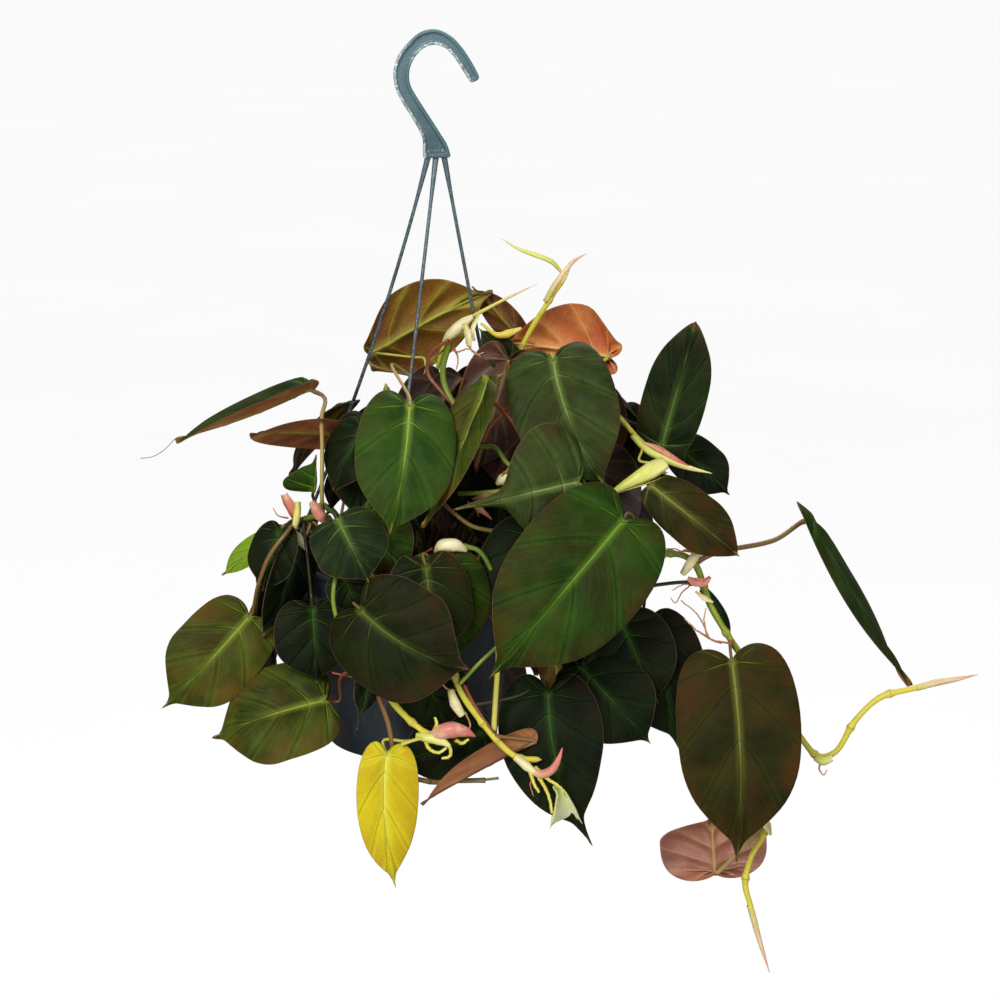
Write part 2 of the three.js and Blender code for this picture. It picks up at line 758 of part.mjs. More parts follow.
function soil() {
  const top = RIM_Z - SOIL_DROP;
  const floor = RIM_Z - POT_HEIGHT + FOOT_RECESS + POT_WALL + GAP;
  const outline = [
    [0, floor],
    [wallRadius(floor) - POT_WALL - 2 * GAP, floor],
    [wallRadius(top) - POT_WALL - 2 * GAP - 1.2, top],
    [30, top + SOIL_DOME],
    [0, top + SOIL_DOME + 1],
  ].map(([r, z]) => new THREE.Vector2(r, z));
  const turned = new THREE.LatheGeometry(outline, 24);
  turned.rotateX(Math.PI / 2).translate(POT_X, 0, 0);
  return stemShapes.reduce((shape, { wide }) => shape.subtract(wide), solid(turned));
}

addNode("pot", potShape, PLASTIC);
addNode("soil", largestBody(soil()), PEAT);
addNode("hook", hook(), HOOK_PLASTIC);
for (const item of STRANDS) {
  addNode(item.name, strand(item, 0), HOOK_PLASTIC);
  fixed.push({ name: item.name, wide: strand(item, GAP) });
}
for (const { name, shape, wide } of stemShapes) {
  addNode(name, shape, STEM);
  fixed.push({ name, wide });
}

function boxesMeet(a, b) {
  const first = a.boundingBox();
  const second = b.boundingBox();
  return [0, 1, 2].every((i) => first.min[i] <= second.max[i] && second.min[i] <= first.max[i]);
}

function cutBy(shape, others) {
  return others
    .filter((other) => boxesMeet(shape, other))
    .reduce((left, other) => left.subtract(other), shape);
}

// Leaves press against each other in the crown, so a later blade stops at what is already there.
const rigid = fixed.map(({ wide }) => wide);
const stalks = [];
for (const leaf of LEAVES) {
  const shape = cutBy(stalk(leaf, 0), [...rigid, potShape]);
  stalks.push({ shape: largestBody(shape), wide: stalk(leaf, GAP) });
}
const bladesDone = [];
LEAVES.forEach((leaf, number) => {
  const otherStalks = stalks.filter((_, i) => i !== number).map(({ wide }) => wide);
  const shape = cutBy(blade(leaf, 0), [...rigid, potShape, ...otherStalks, ...bladesDone]);
  const joined = largestBody(largestBody(shape).add(stalks[number].shape));
  addNode(leaf.name, joined, BLADES[leaf.tone]);
  bladesDone.push(blade(leaf, GAP));
});

export default plant;
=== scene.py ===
import math

import bmesh
import bpy
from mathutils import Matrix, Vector
import numpy as np


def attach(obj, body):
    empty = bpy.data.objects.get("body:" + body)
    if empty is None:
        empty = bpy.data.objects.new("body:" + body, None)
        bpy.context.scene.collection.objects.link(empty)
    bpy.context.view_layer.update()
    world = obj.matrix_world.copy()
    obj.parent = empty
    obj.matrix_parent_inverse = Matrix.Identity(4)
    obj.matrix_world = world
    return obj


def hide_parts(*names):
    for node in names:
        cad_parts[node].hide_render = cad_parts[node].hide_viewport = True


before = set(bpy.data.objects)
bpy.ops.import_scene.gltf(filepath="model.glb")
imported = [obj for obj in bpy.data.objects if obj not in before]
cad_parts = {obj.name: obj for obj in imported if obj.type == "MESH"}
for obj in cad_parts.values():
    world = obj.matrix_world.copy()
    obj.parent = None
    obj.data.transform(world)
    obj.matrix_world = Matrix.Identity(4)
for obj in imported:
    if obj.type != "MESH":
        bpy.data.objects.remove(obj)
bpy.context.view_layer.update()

# Camera
# The plant hangs a metre and a half from the lens, which looks slightly down at the pot.
# The picture is square.
EYE = (0.0388, -1.4554, 0.083)
LOOK_DOWN = 14
LENS = 86.4
SENSOR = 36
SIGHT = 200

lens = bpy.data.cameras.new("view")
lens.lens = LENS
lens.sensor_width = SENSOR
lens.clip_end = SIGHT
eye = bpy.data.objects.new("view", lens)
eye.location = EYE
eye.rotation_euler = (math.radians(90 - LOOK_DOWN), 0, 0)
bpy.context.collection.objects.link(eye)
bpy.context.scene.camera = eye

# Pot
# A thin nursery pot moulded in anthracite plastic, 14 cm across the rim. The wall tapers down to
# a raised floor with drain holes, a collar stiffens the rim, and three ears take the strands.
MM = 0.001
POT_X = -17
POT_SIDES = 128
POT_HEIGHT = 117
RIM_Z = -316
RIM_RADIUS = 72
BASE_RADIUS = 54
WALL = 1.8
COLLAR_HEIGHT = 22
COLLAR_FOOT_RADIUS = 66.5
SHOULDER_RADIUS = 64.5
CORNER_RADIUS = 1.1
FOOT_RECESS = 4
FOOT_RING = 7
DRAIN_HOLES = 6
DRAIN_RADIUS = 4
DRAIN_DEPTH = 12
EAR_CIRCLE = 79
EAR_RADIUS = 5.5
EAR_HOLE = 2.2
EAR_THICKNESS = 3
STRAND_TURNS = {"strand_left": -107, "strand_front": -10, "strand_right": 118}
GRAIN_ROUGHNESS = 0.55


def paint(red, green, blue):
    """A colour as the eye sees it, from 0 to 255, in the renderer's own measure."""
    seen = [value / 255 for value in (red, green, blue)]
    return (*[c / 12.92 if c <= 0.04045 else ((c + 0.055) / 1.055) ** 2.4 for c in seen], 1.0)


def node(tree, kind, inputs, out=0, **settings):
    """What one node of a finish gives out; its inputs go by name or number."""
    made = tree.nodes.new(kind)
    for name, value in settings.items():
        setattr(made, name, value)
    for name, value in inputs.items():
        feed(tree, made.inputs[name], value)
    return Amount(tree, made.outputs[out])


def feed(tree, socket, value):
    """Joins an amount to a socket, or sets a plain value on it."""
    if isinstance(value, Amount):
        tree.links.new(value.socket, socket)
    else:
        socket.default_value = value


class Amount:
    """A number or colour that varies over a finish. Numbers can be worked with like plain ones."""

    def __init__(self, tree, socket):
        self.tree = tree
        self.socket = socket

    def worked(self, way, first, second=0.0):
        """The sum, difference, product or root that way names."""
        return node(self.tree, "ShaderNodeMath", {0: first, 1: second}, operation=way)

    def __add__(self, other):
        return self.worked("ADD", self, other)

    def __rsub__(self, other):
        return self.worked("SUBTRACT", other, self)

    def __mul__(self, other):
        return self.worked("MULTIPLY", self, other)

    def root(self):
        return self.worked("SQRT", self)

    def fade(self, start, end):
        """Rises smoothly from 0 where the number is start to 1 where it is end."""
        inputs = {"Value": self, "From Min": start, "From Max": end}
        return node(self.tree, "ShaderNodeMapRange", inputs, interpolation_type="SMOOTHSTEP")


class Finish:
    """A material in the making, coloured by washes over a first coat."""

    def __init__(self, name, coat, roughness=0.5):
        self.skin = bpy.data.materials.new(name)
        self.skin.use_nodes = True
        self.tree = self.skin.node_tree
        self.colour = paint(*coat)
        self.set("Roughness", roughness)

    def set(self, name, value):
        feed(self.tree, self.tree.nodes["Principled BSDF"].inputs[name], value)

    def wash(self, share, colour):
        """Lays a colour over the last one, as strong as share says."""
        inputs = {0: share, 6: self.colour, 7: paint(*colour)}
        self.colour = node(self.tree, "ShaderNodeMix", inputs, 2, data_type="RGBA")

    def place(self, stretch=(1, 1, 1)):
        """The place on the object in metres, stretched along its axes."""
        spot = node(self.tree, "ShaderNodeTexCoord", {}, "Object")
        return node(self.tree, "ShaderNodeMapping", {"Vector": spot, "Scale": stretch})

    def height(self):
        return node(self.tree, "ShaderNodeSeparateXYZ", {0: self.place()}, "Z")

    def grain(self, size, detail=3, stretch=(1, 1, 1)):
        """Cloudy noise whose patches are about size millimetres across."""
        inputs = {"Vector": self.place(stretch), "Scale": 1 / (size * MM), "Detail": detail,
                  "Roughness": GRAIN_ROUGHNESS}
        return node(self.tree, "ShaderNodeTexNoise", inputs)

    def marks(self, name):
        """The three numbers marked under this name on the points of a piece."""
        mark = node(self.tree, "ShaderNodeAttribute", {}, "Vector", attribute_name=name)
        return [node(self.tree, "ShaderNodeSeparateXYZ", {0: mark}, axis) for axis in "XYZ"]

    def streaks(self, x, y, z, scale, detail):
        """Noise over three numbers of the piece's own, such as its length and girth."""
        vector = node(self.tree, "ShaderNodeCombineXYZ", {0: x, 1: y, 2: z})
        inputs = {"Vector": vector, "Scale": scale, "Detail": detail}
        return node(self.tree, "ShaderNodeTexNoise", inputs)

    def relief(self, height, depth, strength):
        """Bumps whose full height is depth millimetres."""
        inputs = {"Height": height, "Distance": depth * MM, "Strength": strength}
        self.set("Normal", node(self.tree, "ShaderNodeBump", inputs))

    def done(self):
        self.set("Base Color", self.colour)
        return self.skin


def smoothed(mesh):
    """The same mesh with soft shading."""
    mesh.polygons.foreach_set("use_smooth", [True] * len(mesh.polygons))
    return mesh


def place_piece(piece, slot, *nodes):
    """The piece joins the one body and stands for its plain nodes, which it hides; slot is not used."""
    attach(piece, "root")
    if nodes:
        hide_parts(*nodes)


class Shell:
    """Closed surfaces that become one piece: points in millimetres, faces, the finish of each
    face, and two marks at each point that its finish reads."""

    def __init__(self):
        self.points = []
        self.faces = []
        self.finishes = []
        self.place = []
        self.ribs = []

    def take(self, points, faces, finish=0, place=None, ribs=None):
        """Adds a closed surface; finish is one for all its faces, or a list for each of them."""
        start = sum(len(part) for part in self.points)
        blank = np.zeros((len(points), 3))
        self.points.append(np.asarray(points, float))
        self.place.append(blank if place is None else place)
        self.ribs.append(blank if ribs is None else ribs)
        self.faces += [tuple(start + corner for corner in face) for face in faces]
        self.finishes += [finish] * len(faces) if isinstance(finish, int) else finish

    def make(self, name, skins):
        """The surfaces as one piece with their finishes."""
        mesh = bpy.data.meshes.new(name)
        mesh.from_pydata(np.concatenate(self.points) * MM, [], self.faces)
        mesh.polygons.foreach_set("material_index", self.finishes)
        for mark, values in (("place", self.place), ("ribs", self.ribs)):
            layer = mesh.attributes.new(mark, "FLOAT_VECTOR", "POINT")
            layer.data.foreach_set("vector", np.concatenate(values).ravel())
        for skin in skins:
            mesh.materials.append(skin)
        work = bmesh.new()
        work.from_mesh(mesh)
        bmesh.ops.recalc_face_normals(work, faces=work.faces)
        work.to_mesh(mesh)
        work.free()
        piece = bpy.data.objects.new(name, smoothed(mesh))
        bpy.context.collection.objects.link(piece)
        return piece


def unit(vector):
    """The vector's way, one long."""
    return vector / np.linalg.norm(vector)


def rounded(outline, radius, steps=4):
    """The outline with each inner corner eased by an arc."""
    points = [np.array(p, float) for p in outline]
    eased = [points[0]]
    for before, corner, after in zip(points, points[1:], points[2:]):
        to_before, to_after = before - corner, after - corner
        cut = min(radius, np.linalg.norm(to_before) / 2.2, np.linalg.norm(to_after) / 2.2)
        start = corner + unit(to_before) * cut
        end = corner + unit(to_after) * cut
        for t in np.linspace(0, 1, steps + 1):
            eased.append((1 - t) ** 2 * start + 2 * t * (1 - t) * corner + t**2 * end)
    return eased + [points[-1]]


def tube_faces(rows, sides, first=0):
    """The faces between rings of points; the rings follow one another from point first on."""
    at = lambda row, side: first + row * sides + side % sides
    return [(at(row, k), at(row, k + 1), at(row + 1, k + 1), at(row + 1, k))
            for row in range(rows - 1) for k in range(sides)]


def closed_faces(rows, sides):
    """The same with a point before the first ring and one after the last that close it."""
    last = 1 + (rows - 1) * sides
    faces = [(0, 1 + (k + 1) % sides, 1 + k) for k in range(sides)]
    faces += tube_faces(rows, sides, 1)
    return faces + [(last + sides, last + k, last + (k + 1) % sides) for k in range(sides)]


def full_turn(sides):
    """Evenly spaced turns round a whole circle, in radians."""
    return np.arange(sides) / sides * 2 * math.pi


def turned(profile, sides):
    """A closed surface turned about the pot's axis from a profile that starts and ends on it."""
    inner = profile[1:-1]
    points = [(0, 0, profile[0][1])]
    points += [(r * math.cos(t), r * math.sin(t), z) for r, z in inner for t in full_turn(sides)]
    points.append((0, 0, profile[-1][1]))
    return np.array(points) + (POT_X, 0, 0), closed_faces(len(inner), sides)


def wall_radius(z):
    """The pot's outer radius at this height."""
    share = (collar_foot - z) / (POT_HEIGHT - COLLAR_HEIGHT)
    return SHOULDER_RADIUS + (BASE_RADIUS - SHOULDER_RADIUS) * share


def ear_place(turn):
    """The middle of the ear that lies at this turn round the pot, seen from above."""
    angle = math.radians(turn)
    return POT_X + EAR_CIRCLE * math.sin(angle), -EAR_CIRCLE * math.cos(angle)


def disc(x, y, z, radius, height, sides=32):
    """A round solid about the given middle."""
    bpy.ops.mesh.primitive_cylinder_add(vertices=sides, radius=radius * MM, depth=height * MM,
                                        location=(x * MM, y * MM, z * MM))
    return bpy.context.object


def cut_or_join(piece, other, operation):
    """The piece with another solid cut from it or joined to it."""
    change = piece.modifiers.new("change", "BOOLEAN")
    change.operation = operation
    change.object = other
    change.solver = "EXACT"
    graph = bpy.context.evaluated_depsgraph_get()
    changed = bpy.data.meshes.new_from_object(piece.evaluated_get(graph))
    piece.modifiers.clear()
    piece.data = smoothed(changed)
    bpy.data.objects.remove(other)


def pot_plastic():
    """Anthracite plastic, a little bluish, with scuffs, dust and a painted highlight at the collar's foot."""
    skin = Finish("pot_plastic", (19, 27, 35))
    skin.wash(skin.grain(22), (30, 41, 50))
    scratches = skin.grain(3, stretch=(1, 1, 0.12)).fade(0.58, 0.72)
    skin.wash(scratches * 0.25, (92, 102, 112))
    height = skin.height()
    lip_foot = collar_foot * MM
    # A pale band just above the collar's foot is a painted highlight
    lip = height.fade(lip_foot - 0.0002, lip_foot + 0.0008)
    skin.wash(lip * height.fade(lip_foot + 0.007, lip_foot + 0.004) * 0.6, (92, 88, 101))
    skin.wash(skin.grain(5, detail=6).fade(0.6, 0.78) * 0.3, (96, 84, 70))
    skin.set("Roughness", skin.grain(9) * 0.26 + 0.34)
    skin.relief(skin.grain(0.7), 0.12, 0.35)
    return skin.done()


pot_foot = RIM_Z - POT_HEIGHT
pot_floor = pot_foot + FOOT_RECESS
collar_foot = RIM_Z - COLLAR_HEIGHT
pot_profile = [
    (0, pot_floor),
    (BASE_RADIUS - FOOT_RING, pot_floor),
    (BASE_RADIUS - FOOT_RING + 1, pot_foot),
    (BASE_RADIUS, pot_foot),
    (SHOULDER_RADIUS, collar_foot),
    (COLLAR_FOOT_RADIUS, collar_foot),
    (COLLAR_FOOT_RADIUS + 1, collar_foot + 5),
    (RIM_RADIUS - 3, RIM_Z - 3),
    (RIM_RADIUS, RIM_Z - 2),
    (RIM_RADIUS, RIM_Z),
    (RIM_RADIUS - 5, RIM_Z),
    (SHOULDER_RADIUS - WALL, collar_foot),
    (wall_radius(pot_floor + WALL) - WALL, pot_floor + WALL),
    (0, pot_floor + WALL),
]
pot_shell = Shell()
pot_shell.take(*turned(rounded(pot_profile, CORNER_RADIUS), POT_SIDES))
plastic = pot_plastic()
pot = pot_shell.make("pot_moulding", [plastic])
neck_length = EAR_CIRCLE - RIM_RADIUS + 3
for turn in STRAND_TURNS.values():
    x, y = ear_place(turn)
    ear = disc(x, y, RIM_Z - EAR_THICKNESS / 2, EAR_RADIUS, EAR_THICKNESS, 48)
    bpy.ops.mesh.primitive_cube_add(size=MM)
    neck = bpy.context.object
    neck.scale = (2 * EAR_RADIUS, neck_length, EAR_THICKNESS)
    neck.rotation_euler.z = math.radians(turn)
    inward = np.array([POT_X - x, -y]) / EAR_CIRCLE * neck_length / 2
    neck.location = ((x + inward[0]) * MM, (y + inward[1]) * MM, (RIM_Z - EAR_THICKNESS / 2) * MM)
    bpy.context.view_layer.update()
    cut_or_join(ear, neck, "UNION")
    cut_or_join(pot, ear, "UNION")
    cut_or_join(pot, disc(x, y, RIM_Z, EAR_HOLE, 4 * EAR_THICKNESS), "DIFFERENCE")
drain_circle = BASE_RADIUS - FOOT_RING - 2 * DRAIN_RADIUS
for turn in full_turn(DRAIN_HOLES):
    x, y = POT_X + drain_circle * math.cos(turn), drain_circle * math.sin(turn)
    cut_or_join(pot, disc(x, y, pot_floor, DRAIN_RADIUS, DRAIN_DEPTH), "DIFFERENCE")
pot.modifiers.new("edges", "WEIGHTED_NORMAL").keep_sharp = True
pot.data.materials.clear()
pot.data.materials.append(plastic)
place_piece(pot, "pot_plastic", "pot")

# Potting soil
# Damp peat with bark chips fills the pot to a finger's width below the rim and is mounded
# where the stems stand.
SOIL_Z = RIM_Z - 9
SOIL_RADIUS = 62
# Air between two pieces that touch, and between the peat and the wall at its foot and surface
GAP = 0.3
FOOT_GAP = 0.6
SURFACE_GAP = 1.8
SOIL_DOME = 4
SOIL_RINGS = 19
SOIL_SIDES = 72
BARK_CHIPS = 260
BARK_SPREAD = 58
CHIP_SIZES = (0.8, 3.2)
CHIP_SIDES = 8
CHIP_RINGS = 5
CHIP_UNEVEN = 0.16
rng = np.random.default_rng(12)


def peat():
    """Dark crumbs with paler fibres."""
    skin = Finish("peat", (22, 14, 9), 0.95)
    skin.wash(skin.grain(6, detail=8), (70, 46, 30))
    skin.wash(skin.grain(1.2, detail=6).fade(0.55, 0.75) * 0.6, (108, 76, 48))
    skin.relief(skin.grain(1.6, detail=8), 1.2, 0.9)
    return skin.done()


def soil_height(x, y):
    """How high the mounded and lumpy surface lies at this place."""
    radius = np.hypot(x - POT_X, y)
    lumps = np.sin(x * 0.33 + 1.3) * np.cos(y * 0.29) + 0.6 * np.sin(x * 0.71 + y * 0.53)
    return SOIL_Z + SOIL_DOME * np.cos(np.minimum(radius / SOIL_RADIUS, 1) * math.pi / 2) + lumps


def soil_mound():
    """The peat that fills the pot, from its floor to the mounded surface."""
    floor = pot_floor + WALL + GAP
    edge = wall_radius(SOIL_Z) - WALL - SURFACE_GAP
    wall = [(wall_radius(floor) - WALL - FOOT_GAP, floor), (edge, SOIL_Z)]
    rings = [(edge * share, SOIL_Z) for share in np.linspace(1, 0.06, SOIL_RINGS + 1)[1:]]
    points, faces = turned([(0, floor), *wall, *rings, (0, SOIL_Z)], SOIL_SIDES)
    surface = points[:, 2] > SOIL_Z - 1
    points[surface, 2] = soil_height(points[surface, 0], points[surface, 1])
    return points, faces


def bark_chip(centre, sizes, turn):
    """A small closed lump, uneven all round."""
    tilts = np.linspace(0, math.pi, CHIP_RINGS + 2)[1:-1]
    rings = [(math.sin(a) * math.cos(b), math.sin(a) * math.sin(b), math.cos(a))
             for a in tilts for b in full_turn(CHIP_SIDES)]
    ball = np.array([(0, 0, 1), *rings, (0, 0, -1)])
    ball = ball * (1 + CHIP_UNEVEN * rng.standard_normal((len(ball), 1))) * sizes
    cos, sin = math.cos(turn), math.sin(turn)
    spin = np.array([[cos, -sin, 0], [sin, cos, 0], [0, 0, 1]])
    return ball @ spin.T + centre, closed_faces(CHIP_RINGS, CHIP_SIDES)


soil_shell = Shell()
soil_shell.take(*soil_mound())
for chip in range(BARK_CHIPS):
    radius = BARK_SPREAD * math.sqrt(rng.random())
    turn = rng.random() * 2 * math.pi
    x, y = POT_X + radius * math.cos(turn), radius * math.sin(turn)
    sizes = rng.uniform(*CHIP_SIZES) * np.array([1, rng.uniform(0.4, 0.8), rng.uniform(0.3, 0.5)])
    soil_shell.take(*bark_chip((x, y, soil_height(x, y) + 0.3), sizes, rng.random() * 6.3))
place_piece(soil_shell.make("peat_and_bark", [peat()]), "potting_soil", "soil")

# Hook
# One plastic moulding with a raised rim along both edges of each face and a thin web between.
# It runs from the open tip over the top and flares into the foot that holds the strands.
HOOK_DEPTH = 7
HOOK_RIM = 1.7
HOOK_WEB = 2.4
HOOK_FOOT_Z = -67
HOOK_STEPS = 147
# Shares of the hook's length: its rounded tip, and where the web deepens and ends
HOOK_TIP = 0.02
WEB_START = 0.008
WEB_RISE = 0.02
WEB_END = 0.975
WEB_FALL = 0.012
# Outer and inner edge side by side, from the open tip to the foot, as x and z
HOOK_EDGES = [
    ((26.8, -19.9), (21.8, -22.6)), ((24.5, -14.9), (18.9, -18.6)), ((20.5, -8.0), (14.4, -11.4)),
    ((16.1, -1.6), (9.8, -5.0)), ((9.4, 5.3), (4.9, -1.0)), ((0.4, 9.2), (-0.5, 0.2)),
    ((-8.7, 7.4), (-6.0, -1.4)), ((-16.5, 0.9), (-11.2, -6.1)), ((-22.4, -6.8), (-14.6, -12.2)),
    ((-24.9, -15.5), (-15.7, -18.0)), ((-24.2, -23.6), (-14.9, -23.8)), ((-20.8, -32.0), (-11.9, -29.6)),
    ((-15.4, -40.8), (-6.7, -37.8)), ((-10.4, -49.2), (-1.3, -46.1)), ((-7.9, -55.0), (2.8, -52.6)),
    ((-7.7, -61.0), (6.9, -59.4)), ((-7.7, -67.0), (9.2, -66.6)),
]


def line_point(points, share):
    """A point of the smooth line through the given points, which it passes evenly by number."""
    points = np.asarray(points, float)
    place = share * (len(points) - 1)
    piece = min(int(place), len(points) - 2)
    t = place - piece
    b, c = points[piece], points[piece + 1]
    a = points[piece - 1] if piece > 0 else 2 * b - c
    d = points[piece + 2] if piece + 2 < len(points) else 2 * c - b
    ab, bc, cd = (np.linalg.norm(q - p) ** 0.5 for p, q in ((a, b), (b, c), (c, d)))
    leave = ((b - a) / ab - (c - a) / (ab + bc) + (c - b) / bc) * bc
    meet = ((c - b) / bc - (d - b) / (bc + cd) + (d - c) / cd) * bc
    return eased_between(b, c, leave, meet, t)


def eased_between(b, c, leave, meet, t):
    """The smooth path from b to c with the given slopes at its ends."""
    return b + leave * t + (3 * (c - b) - 2 * leave - meet) * t**2 + (2 * (b - c) + leave + meet) * t**3


def run_along(line):
    """How far along the line each of its points lies."""
    return np.concatenate([[0], np.cumsum(np.linalg.norm(np.diff(line, axis=0), axis=1))])


def smooth_line(points, steps):
    """Points along the smooth line, evenly spaced by length, and its length."""
    line = np.array([line_point(points, share) for share in np.linspace(0, 1, 4 * steps + 1)])
    run = run_along(line)
    marks = np.linspace(0, run[-1], steps + 1)
    return np.stack([np.interp(marks, run, line[:, axis]) for axis in range(3)], axis=1), run[-1]


def swept(line, rings):
    """A closed surface through one ring of points at each place on the line."""
    points = np.concatenate([line[:1], *rings, line[-1:]])
    return points, closed_faces(len(rings), len(rings[0]))


def hanger_plastic(name, dark, light, top_z, foot_z, bumpy):
    """Slate plastic with teal edges, painted highlights and glints on its lit edges, darkening top_z to
    foot_z.
    """
    skin = Finish(name, light)
    rim, lit_edge, _ = skin.marks("ribs")
    skin.wash(skin.height().fade(top_z * MM, foot_z * MM), dark)
    skin.wash(skin.grain(9, detail=4).fade(0.4, 0.65) * 0.3, (104, 120, 136))
    skin.wash(rim * 0.5, (74, 124, 118))
    # The pale patches and white glints on the lit edges are painted highlights; faint glints lie everywhere
    skin.wash(lit_edge * skin.grain(2.6, detail=5).fade(0.34, 0.6) * 0.85, (178, 188, 192))
    glints = skin.grain(1.5).fade(0.54, 0.62) * (lit_edge + 0.03)
    skin.wash(glints * 0.95, (240, 243, 242))
    skin.set("Roughness", skin.grain(4) * 0.3 + 0.22)
    skin.relief(skin.grain(2.4) + skin.grain(0.8) * 0.4, 0.35, bumpy)
    return skin.done()


def hook_section(half_width, pocket):
    """The outline of the section: across the hook, through its depth, and how raised it is."""
    half_depth = HOOK_DEPTH / 2
    inner = half_width - min(HOOK_RIM, half_width * 0.5)
    quarter = [
        (half_width, half_depth * 0.35, 0.6), (half_width, half_depth * 0.78, 0.9),
        (half_width - 0.25, half_depth * 0.94, 1), (half_width - 0.7, half_depth, 1),
        (inner + 0.5, half_depth, 1), (inner + 0.1, half_depth * 0.95, 0.9),
        (inner - 0.3, half_depth - pocket * 0.6, 0.3), (inner - 0.7, half_depth - pocket, 0),
        (inner * 0.5, half_depth - pocket, 0), (0, half_depth - pocket, 0),
    ]
    upper = quarter + [(-x, y, raised) for x, y, raised in reversed(quarter[:-1])]
    return upper + [(x, -y, raised) for x, y, raised in reversed(upper)]


hook_line = []
hook_rings = []
hook_marks = []
outer_edge, inner_edge = (np.array([(pair[side][0], 0, pair[side][1]) for pair in HOOK_EDGES])
                          for side in (0, 1))
tip_shares = HOOK_TIP * np.linspace(0, 1, 9)[:-1] ** 2
for share in (*tip_shares, *np.linspace(HOOK_TIP, 1, HOOK_STEPS + 1)):
    outer = line_point(outer_edge, share)
    inner = line_point(inner_edge, share)
    middle = (outer + inner) / 2
    half_width = np.linalg.norm(inner - outer) / 2
    across = (inner - outer) / (2 * half_width)
    deep = min(1, max(0, share - WEB_START) / WEB_RISE) * min(1, max(0, WEB_END - share) / WEB_FALL)
    section = hook_section(half_width, (HOOK_DEPTH - HOOK_WEB) / 2 * deep)
    tip_round = 0.2 + 0.8 * math.sqrt(1 - (1 - min(1, share / HOOK_TIP)) ** 2)
    size = min(tip_round, 0.86 + (1 - share) / 0.03)
    hook_line.append(middle)
    hook_rings.append([middle + (across * x + (0, y, 0)) * size for x, y, _ in section])
    # The lit edge with painted highlights is the inner one up to the arch's far side, then the outer one
    inner_lit = np.interp(share, (0.4, 0.52), (1, -1))
    hook_marks += [(raised, raised * (0.5 + 0.5 * inner_lit * np.clip(x / 2, -1, 1)), 0)
                   for x, _, raised in section]
hook_shell = Shell()
hook_marks = np.array([(0.5, 0.5, 0), *hook_marks, (0.5, 0, 0)])
hook_shell.take(*swept(np.array(hook_line), hook_rings), ribs=hook_marks)
hook_skin = hanger_plastic("hook_plastic", (58, 84, 92), (92, 120, 126), 0, -80, 0.5)
place_piece(hook_shell.make("hook_moulding", [hook_skin]), "hanger_plastic", "hook")

# Strands
# Three slim plastic rods, pushed into the hook's foot and drawn tight by the pot's weight. Each
# passes through an ear on the rim and ends in a barb under it.
SOCKET_DEPTH = 6
STRAND_RADIUS = 1.1
STRAND_HEAD_RADIUS = 2.0
HEAD_SHARE = 0.12
STRAND_SPREAD = 5.3
STRAND_STEPS = 80
# Share of teal edge tint and of painted highlight with glints all along the strands
STRAND_RIM_AND_GLINT = 0.1
BARB_RADIUS = 3
BARB_HEIGHT = 4
# How far each starts beside the hook's middle, and how far it bows inwards
STRANDS = {
    "strand_left": (-STRAND_SPREAD, 12),
    "strand_front": (0, 3),
    "strand_right": (STRAND_SPREAD, 3),
}


def rod(line, radii, sides, finish=0):
    """A round rod along a line, with its length, girth and share of the line marked on it."""
    line = np.asarray(line, float)
    tangents = np.gradient(line, axis=0)
    tangents /= np.linalg.norm(tangents, axis=1)[:, None]
    side = np.cross(tangents[0], (0.31, 0.12, 0.94) if abs(tangents[0][2]) < 0.9 else (1, 0, 0))
    turns = full_turn(sides)
    run = run_along(line)
    rings = []
    marks = []
    for middle, tangent, radius, length in zip(line, tangents, radii, run):
        side = unit(side - tangent * side.dot(tangent))
        other = np.cross(tangent, side)
        rings.append(middle + radius * (np.outer(np.cos(turns), side) + np.outer(np.sin(turns), other)))
        marks += [(length, turn * radius, length / run[-1]) for turn in turns]
    return *swept(line, rings), finish, np.array([(0, 0, 0), *marks, (run[-1], 0, 1)])


def strand(name, shift, bow):
    """One strand from its socket in the hook to the barb under its ear."""
    x, y = ear_place(STRAND_TURNS[name])
    foot = np.array([x, y, RIM_Z - EAR_THICKNESS / 2])
    head = np.array([shift, 0, HOOK_FOOT_Z], float)
    up = unit(head - foot)
    head += up * SOCKET_DEPTH
    foot -= up * EAR_THICKNESS
    middle = (head + foot) / 2 + unit(np.array([-foot[0], -foot[1], 0])) * bow
    shares = np.linspace(0, 1, STRAND_STEPS + 1)
    line = [(1 - s) ** 2 * head + 2 * s * (1 - s) * middle + s * s * foot for s in shares]
    flare = (STRAND_HEAD_RADIUS - STRAND_RADIUS) * np.clip(1 - shares / HEAD_SHARE, 0, 1)
    shell = Shell()
    strand_rod = rod(line, STRAND_RADIUS + flare, 12)
    shell.take(*strand_rod, ribs=np.full_like(strand_rod[0], STRAND_RIM_AND_GLINT))
    top = RIM_Z - EAR_THICKNESS - GAP
    barb = [(foot[0], foot[1], top - BARB_HEIGHT * s) for s in (0, 0.02, 0.3, 0.8, 1)]
    shell.take(*rod(barb, [BARB_RADIUS - 0.3, BARB_RADIUS, BARB_RADIUS - 0.2, 1.2, 0.8], 20))
    return shell


strand_skin = hanger_plastic("strand_plastic", (24, 29, 36), (62, 82, 90), -70, -190, 0.12)
for name, (shift, bow) in STRANDS.items():
    place_piece(strand(name, shift, bow).make(name + "_rod", [strand_skin]), "hanger_plastic", name)

# Stems
# Smooth green vines five millimetres thick. They root in the peat, lean over the rim and
# trail or climb; every few centimetres a swollen joint shows where a leaf grew.
STEM_RADIUS = 2.35
STEM_SIDES = 12
STEM_STEP = 1.4
JOINT_SPACING = 33
